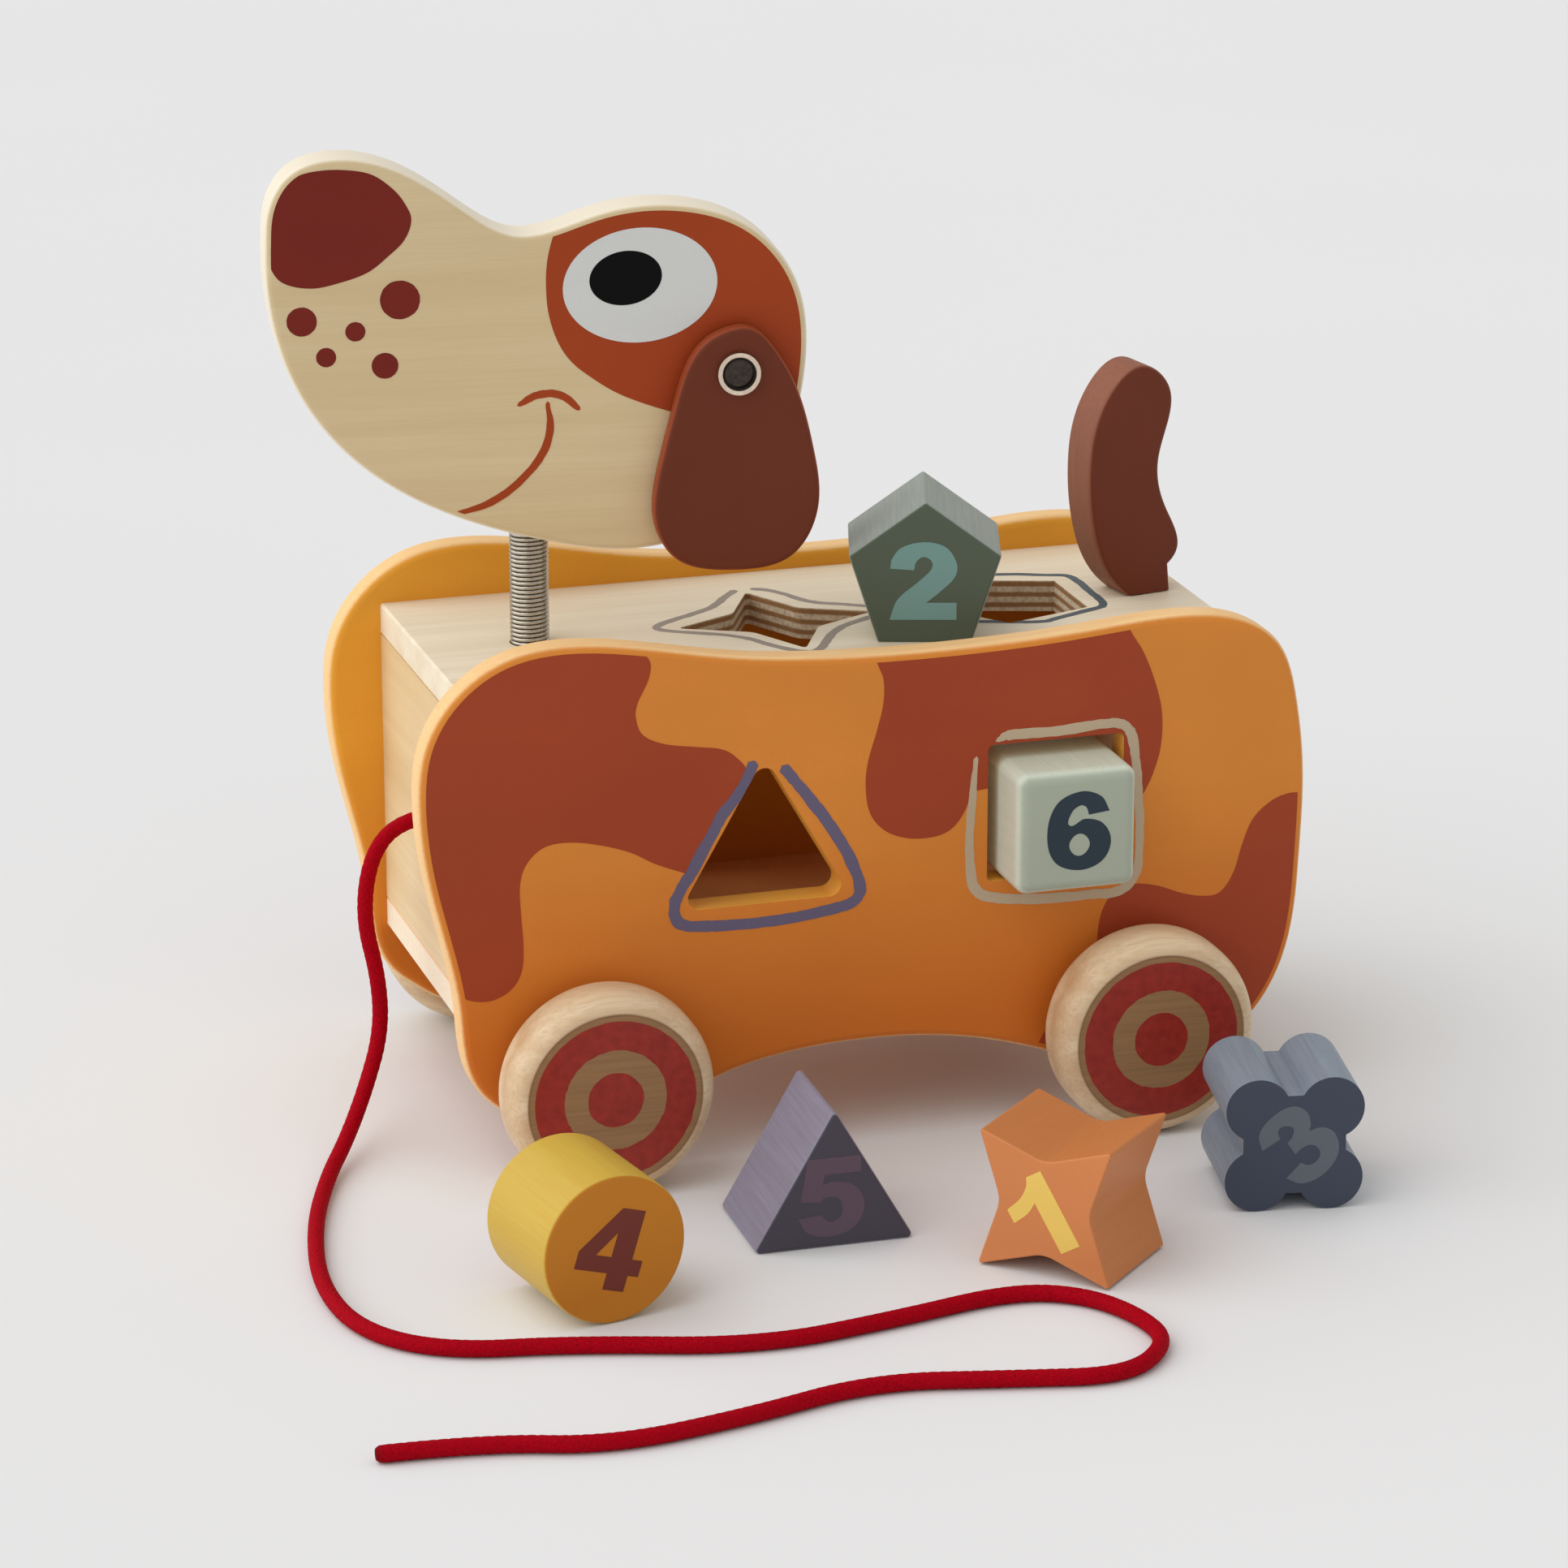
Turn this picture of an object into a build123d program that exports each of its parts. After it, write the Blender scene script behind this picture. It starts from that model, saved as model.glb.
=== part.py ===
from build123d import *
import os
from math import cos, pi, radians, sin, sqrt, tan

# Wooden pull-along dog that is also a shape sorter. Millimetres, +Z up.
# The origin is on the floor under the middle of the body; +X points to the tail,
# -Y is the side with the triangle and square holes.

# ---- body -------------------------------------------------------------------
PLY = 8.0                 # thickness of every body board
BOX_HALF_X = 98.8         # half length of the box between the side panels
BOX_HALF_Y = 43.0         # half width of the box: inner face of each side panel
DECK_Z = 119.5            # upper face of the top board
BASE_Z = 34.2             # underside of the bottom board
EDGE_ROUND = 2.0          # round-over of the panels' outer edges
SOFTENED = 0.6            # broken edge of the plain boards
PARALLEL = 0.999          # cosine above which a face counts as square to a direction

# ---- holes for the blocks -----------------------------------------------------
HOLE_Z = 81.4             # height of the hole centres in the side panels
FRONT_HOLE_X = -27.2
REAR_HOLE_X = 46.9
TRIANGLE_HOLE = 43.0      # side of the triangle before its corners are rounded
TRIANGLE_BASE_Z = 64.3
TRIANGLE_HOLE_ROUND = 3.0
SQUARE_HOLE = 35.0
SQUARE_HOLE_ROUND = 1.5
STAR_HOLE_X = -8.8
STAR_HOLE_TIP = 25.4
STAR_HOLE_WAIST = 12.0
STAR_HOLE_WAIST_ROUND = 5.0
STAR_HOLE_TIP_ROUND = 0.8
PENTAGON_HOLE_X = 51.9
PENTAGON_HOLE_R = 20.9
BLOCK_GAP = 1.3           # room around the cylinder and the flower

# ---- wheels and axles ---------------------------------------------------------
WHEEL_R = 25.8
WHEEL_THICK = 17.0
WHEEL_INNER_ROUND = 6.0
RIM_REACH = 4.4           # the outer edge's round-over: how far it reaches along the radius
RIM_DEPTH = 7.0           # and along the axle
RIM_FULLNESS = 0.55       # 0.55 is a quarter of an ellipse
HUB_R = 9.0
HUB_LENGTH = 2.0
WHEEL_GAP = 1.0           # between the hub and the side panel
AXLE_R = 5.0
AXLE_RUNNING = 0.06       # radial clearance in the side panels
AXLE_DEPTH = 13.0         # how far the axle is glued into a wheel
AXLE_CHAMFER = 0.5
AXLE_END_ROOM = 0.5       # empty end of the blind hole in a wheel
FRONT_AXLE_X = -70.4
REAR_AXLE_X = 68.1

# ---- rear door ----------------------------------------------------------------
DOOR_GAP = 0.6
DOOR_TOP_GAP = 1.0
DOOR_PIN_R = 1.5
DOOR_PIN_LENGTH = 18.0
DOOR_PIN_IN_PANEL = 6.0
FINGER_HOLE_R = 10.0
FINGER_HOLE_RISE = 18.0   # its middle above the bottom board
STOP_SIZE = 6.0
STOP_GAP = 0.4

# ---- head, neck and ears --------------------------------------------------------
NECK_X = -71.5
HEAD_TURN = -7.0          # the head looks slightly to its left
HEAD_THICK = 12.0
HEAD_ROUND = 1.6
SPRING_R = 4.85           # outer radius of the coil
SPRING_WIRE_R = 0.52
SPRING_PITCH = 1.1
SPRING_HOLE_R = 5.0
SPRING_IN_DECK = 6.0
SPRING_TOP_Z = 159.0
SPRING_HOLE_DEPTH = 20.0  # of the hole in the head, below the top of the spring
EAR_THICK = 5.0
EAR_ROUND = 1.4
EAR_GAP = 0.6
RIVET_S = 49.8            # rivet, measured along the head from the neck
RIVET_Z = 187.6
RIVET_R = 2.5
RIVET_FLANGE_R = 5.2
RIVET_FLANGE = 1.6
RIVET_GAP = 0.3           # between a flange and its ear
RIVET_RECESS_R = 3.5
RIVET_RECESS = 1.0
RUNNING = 0.06

# ---- tail -----------------------------------------------------------------------
TAIL_X = 86.5
TAIL_TURN = 10.0
TAIL_THICK = 12.0
TAIL_ROUND = 1.2
TAIL_GAP = 0.3
SCREW_R = 2.0
SCREW_THREAD_R = 1.5
SCREW_HEAD_R = 3.8
SCREW_HEAD = 2.4
SCREW_HEAD_GAP = 0.3
SCREW_LENGTH = 18.0       # depth of its hole in the tail
SCREW_END_ROOM = 1.0
SLOT_LENGTH = 4.6
SLOT_WIDTH = 1.1
SLOT_DEPTH = 1.3

# ---- blocks ---------------------------------------------------------------------
BLOCK_DEPTH = 30.0
BLOCK_ROUND = 0.8
CYLINDER_R = 17.9
TRIANGLE_SIDE = 39.6
TRIANGLE_ROUND = 1.0
STAR_HALF = 17.1          # half of the square that the four tips span
STAR_WAIST = 11.4
STAR_WAIST_ROUND = 8.0
STAR_TIP_ROUND = 0.6
STAR_EDGE_ROUND = 0.5
PENTAGON_R = 19.6
PETAL_R = 7.8
PETAL_OFFSET = 8.9
PETAL_MIDDLE = 12.4       # half width of the square that joins the petals
CUBE = 30.5
CUBE_ROUND = 3.0
CUBE_X = 47.5
CUBE_FACE_Y = -65.6       # the cube sticks out of its hole
CUBE_GAP = 0.5            # over the lower edge of its hole

# Where the loose blocks stand: x, y and turn of the numbered face.
CYLINDER_PLACE = (-90.2, -141.0, 11.4)
TRIANGLE_PLACE = (-29.2, -113.0, -1.0)
STAR_PLACE = (11.2, -145.2, -46.0)
FLOWER_PLACE = (82.0, -124.0, -10.4)
PENTAGON_PLACE = (20.2, -29.5, -17.2)

# ---- cord -----------------------------------------------------------------------
CORD_R = 2.0
CORD_HOLE_R = 2.4
CORD_EXIT_Z = 77.0
CORD_TO_KNOT = 2.0        # how far the cord's stub runs into the knot
KNOT_R = 5.2
KNOT_HALF_LENGTH = 4.2

os.makedirs("parts", exist_ok=True)


def save(part, label):
    part.label = label
    export_step(part, f"parts/{label}.step")


def turned_plane(x, y, turn):
    """Upright plane through (x, y) that faces -Y, turned about the vertical."""
    a = radians(turn)
    return Plane(origin=(x, y, 0), x_dir=(cos(a), sin(a), 0), z_dir=(sin(a), -cos(a), 0))


def facing(part, direction):
    """The flat faces of a part that look along a direction or against it."""
    return part.faces().filter_by(lambda f: abs(f.normal_at().dot(direction)) > PARALLEL)


# ---- side panels ------------------------------------------------------------------
PANEL_OUTLINE = [
    (-94, 18.5), (-101.5, 29), (-103.5, 44.5), (-106.5, 60.5), (-110.5, 77.5),
    (-112.5, 95.5), (-110.5, 111.5), (-103, 123.2), (-91, 131), (-77, 133.3),
    (-60, 131.7), (-35, 127.1), (-7, 124.6), (22, 124.3), (55, 125.9), (80, 127.5),
    (95, 125), (104.5, 118.5), (110, 104), (112.4, 84.5), (112, 62.5), (109, 38),
    (101, 22.5), (88, 13), (70, 10.5), (46, 17.5), (23, 23.9), (-3, 25.9),
    (-24, 24.2), (-40, 19.9), (-55, 13), (-72, 10.5), (-86, 13),
]


with BuildSketch() as panel_face:
    with BuildLine():
        Spline(*PANEL_OUTLINE, periodic=True)
    make_face()
    with Locations((FRONT_AXLE_X, WHEEL_R), (REAR_AXLE_X, WHEEL_R)):
        Circle(AXLE_R + AXLE_RUNNING, mode=Mode.SUBTRACT)

with BuildSketch() as triangle_hole:
    half = TRIANGLE_HOLE / 2
    with BuildLine():
        Polyline(
            (FRONT_HOLE_X - half, TRIANGLE_BASE_Z),
            (FRONT_HOLE_X + half, TRIANGLE_BASE_Z),
            (FRONT_HOLE_X, TRIANGLE_BASE_Z + half * sqrt(3)),
            close=True,
        )
    make_face()
    fillet(vertices(), TRIANGLE_HOLE_ROUND)


def round_panel_edges(panel):
    for face in (panel.faces().sort_by(Axis.Y)[0], panel.faces().sort_by(Axis.Y)[-1]):
        fillet(face.outer_wire().edges(), EDGE_ROUND)


HINGE_X = BOX_HALF_X - PLY / 2
HINGE_Z = DECK_Z - PLY - DOOR_TOP_GAP - PLY / 2

with BuildPart() as left_side_panel:
    with BuildSketch(Plane.XZ.offset(BOX_HALF_Y)):
        add(panel_face.sketch)
        add(triangle_hole.sketch, mode=Mode.SUBTRACT)
        with Locations((REAR_HOLE_X, HOLE_Z)):
            RectangleRounded(SQUARE_HOLE, SQUARE_HOLE, SQUARE_HOLE_ROUND, mode=Mode.SUBTRACT)
    extrude(amount=PLY)
    round_panel_edges(left_side_panel)
    with BuildSketch(Plane.XZ.offset(BOX_HALF_Y)):
        with Locations((HINGE_X, HINGE_Z)):
            Circle(DOOR_PIN_R)
    extrude(amount=DOOR_PIN_IN_PANEL, mode=Mode.SUBTRACT)
save(left_side_panel.part, "left_side_panel")


def flower(petal_r, middle):
    """Four petals on the corners of a square, joined by a square middle."""
    with BuildSketch() as face:
        Rectangle(2 * middle, 2 * middle)
        with GridLocations(2 * PETAL_OFFSET, 2 * PETAL_OFFSET, 2, 2):
            Circle(petal_r)
    return face.sketch


with BuildPart() as right_side_panel:
    with BuildSketch(Plane.XZ.offset(-BOX_HALF_Y)):
        add(panel_face.sketch)
        with Locations((FRONT_HOLE_X, HOLE_Z)):
            Circle(CYLINDER_R + BLOCK_GAP, mode=Mode.SUBTRACT)
        with Locations((REAR_HOLE_X, HOLE_Z)):
            add(flower(PETAL_R + BLOCK_GAP, PETAL_MIDDLE + BLOCK_GAP), mode=Mode.SUBTRACT)
    extrude(amount=-PLY)
    round_panel_edges(right_side_panel)
    with BuildSketch(Plane.XZ.offset(-BOX_HALF_Y)):
        with Locations((HINGE_X, HINGE_Z)):
            Circle(DOOR_PIN_R)
    extrude(amount=-DOOR_PIN_IN_PANEL, mode=Mode.SUBTRACT)
save(right_side_panel.part, "right_side_panel")


# ---- boards of the box ------------------------------------------------------------
def from_middle(vertex):
    return round(sqrt(vertex.X ** 2 + vertex.Y ** 2), 3)


def star(tip, waist, waist_round, tip_round):
    """Four-pointed star with its tips on the axes."""
    points = []
    for k in range(4):
        points.append((tip * cos(k * pi / 2), tip * sin(k * pi / 2)))
        points.append((waist * cos((k + 0.5) * pi / 2), waist * sin((k + 0.5) * pi / 2)))
    with BuildSketch() as face:
        Polygon(*points, align=None)
        fillet(face.vertices().group_by(from_middle)[0], waist_round)
        fillet(face.vertices().group_by(from_middle)[-1], tip_round)
    return face.sketch


star_hole = star(STAR_HOLE_TIP, STAR_HOLE_WAIST, STAR_HOLE_WAIST_ROUND, STAR_HOLE_TIP_ROUND)

with BuildPart() as top_board:
    with BuildSketch(Plane.XY.offset(DECK_Z - PLY)):
        Rectangle(2 * BOX_HALF_X, 2 * BOX_HALF_Y)
        with Locations((STAR_HOLE_X, 0)):
            add(star_hole, mode=Mode.SUBTRACT)
        with Locations((PENTAGON_HOLE_X, 0)):
            RegularPolygon(PENTAGON_HOLE_R, 5, rotation=36, mode=Mode.SUBTRACT)
        with Locations((TAIL_X, 0)):
            Circle(SCREW_R + RUNNING, mode=Mode.SUBTRACT)
    extrude(amount=PLY)
    chamfer(top_board.edges().filter_by(Axis.Y).group_by(Axis.X)[0], SOFTENED)
    chamfer(top_board.edges().filter_by(Axis.Y).group_by(Axis.X)[-1], SOFTENED)
    with BuildSketch(Plane.XY.offset(DECK_Z)):
        with Locations((NECK_X, 0)):
            Circle(SPRING_HOLE_R)
    extrude(amount=-SPRING_IN_DECK, mode=Mode.SUBTRACT)
save(top_board.part, "top_board")

with BuildPart() as bottom_board:
    with BuildSketch(Plane.XY.offset(BASE_Z)):
        Rectangle(2 * BOX_HALF_X, 2 * BOX_HALF_Y)
    extrude(amount=PLY)
    chamfer(bottom_board.edges().filter_by(Axis.Y), SOFTENED)
save(bottom_board.part, "bottom_board")

FLOOR_Z = BASE_Z + PLY
CEILING_Z = DECK_Z - PLY

with BuildPart() as front_board:
    with BuildSketch(Plane.YZ.offset(-BOX_HALF_X)):
        with Locations((0, (FLOOR_Z + CEILING_Z) / 2)):
            Rectangle(2 * BOX_HALF_Y, CEILING_Z - FLOOR_Z)
        with Locations((0, CORD_EXIT_Z)):
            Circle(CORD_HOLE_R, mode=Mode.SUBTRACT)
    extrude(amount=PLY)
save(front_board.part, "front_board")

# The door hangs on two pins near its rounded top edge and opens outwards.
with BuildPart() as rear_door:
    with BuildSketch(Plane.XZ.offset(-BOX_HALF_Y + DOOR_GAP)):
        with BuildLine():
            low = FLOOR_Z + DOOR_TOP_GAP
            inner = HINGE_X - PLY / 2
            outer = HINGE_X + PLY / 2
            Line((inner, HINGE_Z), (inner, low))
            Line((inner, low), (outer, low))
            Line((outer, low), (outer, HINGE_Z))
            ThreePointArc((outer, HINGE_Z), (HINGE_X, HINGE_Z + PLY / 2), (inner, HINGE_Z))
        make_face()
        with Locations((HINGE_X, HINGE_Z)):
            Circle(DOOR_PIN_R + RUNNING, mode=Mode.SUBTRACT)
    extrude(amount=2 * (BOX_HALF_Y - DOOR_GAP))
    with BuildSketch(Plane.YZ.offset(BOX_HALF_X)):
        with Locations((0, FLOOR_Z + FINGER_HOLE_RISE)):
            Circle(FINGER_HOLE_R)
    extrude(amount=-PLY, mode=Mode.SUBTRACT)
save(rear_door.part, "rear_door")

with BuildPart() as door_pins:
    for y in (BOX_HALF_Y + DOOR_PIN_IN_PANEL, -BOX_HALF_Y - DOOR_PIN_IN_PANEL + DOOR_PIN_LENGTH):
        with BuildSketch(Plane.XZ.offset(-y)):
            with Locations((HINGE_X, HINGE_Z)):
                Circle(DOOR_PIN_R)
        extrude(amount=DOOR_PIN_LENGTH)
save(door_pins.part, "door_pins")

with BuildPart() as door_stop:
    with BuildSketch(Plane.XZ.offset(-BOX_HALF_Y)):
        with Locations((BOX_HALF_X - PLY - STOP_GAP - STOP_SIZE / 2, FLOOR_Z + STOP_SIZE / 2)):
            Rectangle(STOP_SIZE, STOP_SIZE)
    extrude(amount=2 * BOX_HALF_Y)
save(door_stop.part, "door_stop")

# ---- axles and wheels ---------------------------------------------------------------
PANEL_FACE_Y = BOX_HALF_Y + PLY
HUB_FACE_Y = PANEL_FACE_Y + WHEEL_GAP
AXLE_HALF = HUB_FACE_Y + AXLE_DEPTH

for axle_name, axle_x in (("front_axle", FRONT_AXLE_X), ("rear_axle", REAR_AXLE_X)):
    with BuildPart() as axle:
        with BuildSketch(Plane.XZ.offset(-AXLE_HALF)):
            with Locations((axle_x, WHEEL_R)):
                Circle(AXLE_R)
        extrude(amount=2 * AXLE_HALF)
        chamfer(axle.edges(), AXLE_CHAMFER)
    save(axle.part, axle_name)

for end, axle_x in (("front", FRONT_AXLE_X), ("rear", REAR_AXLE_X)):
    for side, way in (("left", -1), ("right", 1)):
        # Half section of the wheel, in the plane of its axle: the local x axis is the radius.
        hub_face = HUB_FACE_Y * way
        inner_face = (HUB_FACE_Y + HUB_LENGTH) * way
        outer_face = (HUB_FACE_Y + HUB_LENGTH + WHEEL_THICK) * way
        rim_start = outer_face - RIM_DEPTH * way
        bore_end = (AXLE_HALF + AXLE_END_ROOM) * way
        section = Plane(origin=(axle_x, 0, WHEEL_R), x_dir=(1, 0, 0), z_dir=(0, 0, 1))
        with BuildPart() as wheel:
            with BuildSketch(section) as wheel_section:
                with BuildLine():
                    Polyline(
                        (WHEEL_R - RIM_REACH, outer_face),
                        (0, outer_face),
                        (0, bore_end),
                        (AXLE_R, bore_end),
                        (AXLE_R, hub_face),
                        (HUB_R, hub_face),
                        (HUB_R, inner_face),
                        (WHEEL_R, inner_face),
                        (WHEEL_R, rim_start),
                    )
                    Bezier(
                        (WHEEL_R, rim_start),
                        (WHEEL_R, rim_start + RIM_FULLNESS * RIM_DEPTH * way),
                        (WHEEL_R - RIM_REACH * (1 - RIM_FULLNESS), outer_face),
                        (WHEEL_R - RIM_REACH, outer_face),
                    )
                make_face()
                rim = wheel_section.vertices().group_by(Axis.X)[-1]
                fillet(rim.sort_by(lambda v: abs(v.Y))[0], WHEEL_INNER_ROUND)
            revolve(axis=Axis((axle_x, 0, WHEEL_R), (0, 1, 0)))
        save(wheel.part, f"{end}_{side}_wheel")

# ---- neck spring ----------------------------------------------------------------------
coil_r = SPRING_R - SPRING_WIRE_R
spring_low = DECK_Z - SPRING_IN_DECK + SPRING_WIRE_R
spring_length = SPRING_TOP_Z - spring_low - SPRING_WIRE_R
with BuildPart() as neck_spring:
    with BuildLine() as coil:
        Helix(SPRING_PITCH, spring_length, coil_r, center=(NECK_X, 0, spring_low))
    with BuildSketch(Plane(coil.line @ 0, z_dir=coil.line % 0)):
        Circle(SPRING_WIRE_R)
    sweep(is_frenet=True)
save(neck_spring.part, "neck_spring")

# ---- head ---------------------------------------------------------------------------
HEAD_OUTLINE = [
    (-62.6, 220.5), (-61.8, 205.5), (-55, 184.5), (-41, 167), (-18.5, 153.3),
    (4.5, 145.9), (24.5, 143.1), (46, 149), (61, 165), (67.4, 187), (65, 208.5),
    (53.5, 222.3), (37, 227.9), (16, 226.2), (-3, 222.2), (-15, 228.7),
    (-29, 238), (-44, 242), (-56.5, 238.5), (-61.8, 229.5),
]
head_plane = turned_plane(NECK_X, 0, HEAD_TURN)

with BuildPart() as head:
    with BuildSketch(head_plane.offset(-HEAD_THICK / 2)):
        with BuildLine():
            Spline(*HEAD_OUTLINE, periodic=True)
        make_face()
        with Locations((RIVET_S, RIVET_Z)):
            Circle(RIVET_R, mode=Mode.SUBTRACT)
    extrude(amount=HEAD_THICK)
    for face in facing(head, head_plane.z_dir):
        fillet(face.outer_wire().edges(), HEAD_ROUND)
    with BuildSketch(Plane.XY.offset(SPRING_TOP_Z)):
        with Locations((NECK_X, 0)):
            Circle(SPRING_HOLE_R)
    extrude(amount=-SPRING_HOLE_DEPTH, mode=Mode.SUBTRACT)
save(head.part, "head")

EAR_OUTLINE = [
    (49.8, 198.6), (39.6, 192.8), (34.5, 180), (30.3, 163.5), (29.3, 151.5), (34, 142),
    (48.5, 138.1), (63, 141), (69.5, 152.5), (68.5, 167.5), (64.5, 182.5), (58.5, 193.5),
]
EAR_START = HEAD_THICK / 2 + EAR_GAP
FLANGE_START = EAR_START + EAR_THICK + RIVET_GAP
for ear_name, way in (("left_ear", 1), ("right_ear", -1)):
    with BuildPart() as ear:
        with BuildSketch(head_plane.offset(EAR_START * way)):
            with BuildLine():
                Spline(*EAR_OUTLINE, periodic=True)
            make_face()
            with Locations((RIVET_S, RIVET_Z)):
                Circle(RIVET_R + RUNNING, mode=Mode.SUBTRACT)
        extrude(amount=EAR_THICK * way)
        for face in facing(ear, head_plane.z_dir):
            fillet(face.outer_wire().edges(), EAR_ROUND)
    save(ear.part, ear_name)


# The ears turn on one rivet with a hollow flange at each end; the shank belongs to the left one.
with BuildSketch() as flange_face:
    with Locations((RIVET_S, RIVET_Z)):
        Circle(RIVET_FLANGE_R)

with BuildSketch() as recess_face:
    with Locations((RIVET_S, RIVET_Z)):
        Circle(RIVET_RECESS_R)

with BuildSketch() as shank_face:
    with Locations((RIVET_S, RIVET_Z)):
        Circle(RIVET_R)

for rivet_name, way in (("ear_rivet", 1), ("ear_rivet_cap", -1)):
    with BuildPart() as rivet:
        with BuildSketch(head_plane.offset(FLANGE_START * way)):
            add(flange_face.sketch)
        extrude(amount=RIVET_FLANGE * way)
        if way == 1:
            with BuildSketch(head_plane.offset(FLANGE_START)):
                add(shank_face.sketch)
            extrude(amount=-2 * FLANGE_START)
        with BuildSketch(head_plane.offset((FLANGE_START + RIVET_FLANGE) * way)):
            add(recess_face.sketch)
        extrude(amount=-RIVET_RECESS * way, mode=Mode.SUBTRACT)
    save(rivet.part, rivet_name)

# ---- tail ---------------------------------------------------------------------------
tail_plane = turned_plane(TAIL_X, 0, TAIL_TURN)
tail_foot = DECK_Z + TAIL_GAP

with BuildPart() as tail:
    with BuildSketch(tail_plane.offset(-TAIL_THICK / 2)):
        with BuildLine():
            Spline((-6.2, tail_foot), (-13, 128), (-16.6, 139), (-17.7, 155), (-13.4, 170.8),
                   (-3, 178.7), (5, 172.5), (2.4, 154.5), (4.7, 141.5), (8.4, 130.5), (5.6, 126.5))
            Line((5.6, 126.5), (6.2, tail_foot))
            Line((6.2, tail_foot), (-6.2, tail_foot))
        make_face()
    extrude(amount=TAIL_THICK)
    edges_of_sides = ShapeList(e for f in facing(tail, tail_plane.z_dir) for e in f.outer_wire().edges())
    fillet(edges_of_sides.filter_by(lambda e: e.center().Z > tail_foot + TAIL_ROUND), TAIL_ROUND)
    with BuildSketch(Plane.XY.offset(tail_foot)):
        with Locations((TAIL_X, 0)):
            Circle(SCREW_THREAD_R)
    extrude(amount=SCREW_LENGTH, mode=Mode.SUBTRACT)
save(tail.part, "tail")

SCREW_SEAT_Z = CEILING_Z - SCREW_HEAD_GAP

with BuildPart() as tail_screw:
    with BuildSketch(Plane.XY.offset(SCREW_SEAT_Z - SCREW_HEAD)):
        with Locations((TAIL_X, 0)):
            Circle(SCREW_HEAD_R)
    extrude(amount=SCREW_HEAD)
    with BuildSketch(Plane.XY.offset(SCREW_SEAT_Z)):
        with Locations((TAIL_X, 0)):
            Circle(SCREW_R)
    extrude(amount=tail_foot - SCREW_SEAT_Z)
    with BuildSketch(Plane.XY.offset(tail_foot)):
        with Locations((TAIL_X, 0)):
            Circle(SCREW_THREAD_R)
    extrude(amount=SCREW_LENGTH - SCREW_END_ROOM)
    with BuildSketch(Plane.XY.offset(SCREW_SEAT_Z - SCREW_HEAD)):
        with Locations((TAIL_X, 0)):
            Rectangle(SLOT_LENGTH, SLOT_WIDTH)
            Rectangle(SLOT_WIDTH, SLOT_LENGTH)
    extrude(amount=SLOT_DEPTH, mode=Mode.SUBTRACT)
save(tail_screw.part, "tail_screw")

# ---- blocks ---------------------------------------------------------------------------
cylinder_plane = turned_plane(*CYLINDER_PLACE)
triangle_plane = turned_plane(*TRIANGLE_PLACE)
star_plane = turned_plane(*STAR_PLACE)
flower_plane = turned_plane(*FLOWER_PLACE)
pentagon_plane = turned_plane(*PENTAGON_PLACE)

with BuildPart() as cylinder_block:
    with BuildSketch(cylinder_plane):
        with Locations((0, CYLINDER_R)):
            Circle(CYLINDER_R)
    extrude(amount=-BLOCK_DEPTH)
    fillet(cylinder_block.edges().filter_by(GeomType.CIRCLE), BLOCK_ROUND)
save(cylinder_block.part, "cylinder_block")

with BuildPart() as triangle_block:
    with BuildSketch(triangle_plane):
        side = TRIANGLE_SIDE / 2
        with BuildLine():
            Polyline((-side, 0), (side, 0), (0, side * sqrt(3)), close=True)
        make_face()
        fillet(vertices(), TRIANGLE_ROUND)
    extrude(amount=-BLOCK_DEPTH)
    fillet(facing(triangle_block, triangle_plane.z_dir).edges(), BLOCK_ROUND)
save(triangle_block.part, "triangle_block")

star_face = star(STAR_HALF * sqrt(2), STAR_WAIST, STAR_WAIST_ROUND, STAR_TIP_ROUND)

with BuildPart() as star_block:
    with BuildSketch(star_plane):
        with Locations(Location((0, STAR_HALF), 45)):
            add(star_face)
    extrude(amount=-BLOCK_DEPTH)
    fillet(facing(star_block, star_plane.z_dir).edges(), STAR_EDGE_ROUND)
save(star_block.part, "star_block")

with BuildPart() as flower_block:
    with BuildSketch(flower_plane):
        with Locations((0, PETAL_R + PETAL_OFFSET)):
            add(flower(PETAL_R, PETAL_MIDDLE))
    extrude(amount=-BLOCK_DEPTH)
save(flower_block.part, "flower_block")

with BuildPart() as pentagon_block:
    with BuildSketch(pentagon_plane):
        with Locations((0, DECK_Z + PENTAGON_R * cos(pi / 5))):
            RegularPolygon(PENTAGON_R, 5, rotation=90)
        fillet(vertices(), BLOCK_ROUND)
    extrude(amount=-BLOCK_DEPTH)
    fillet(facing(pentagon_block, pentagon_plane.z_dir).edges(), BLOCK_ROUND)
save(pentagon_block.part, "pentagon_block")

# The cube rests on the lower edge of the square hole.
cube_z = HOLE_Z - SQUARE_HOLE / 2 + CUBE_GAP + CUBE / 2

with BuildPart() as cube_block:
    with BuildSketch(Plane.XZ.offset(-CUBE_FACE_Y)):
        with Locations((CUBE_X, cube_z)):
            Rectangle(CUBE, CUBE)
    extrude(amount=-CUBE)
    fillet(cube_block.edges(), CUBE_ROUND)
save(cube_block.part, "cube_block")

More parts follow.
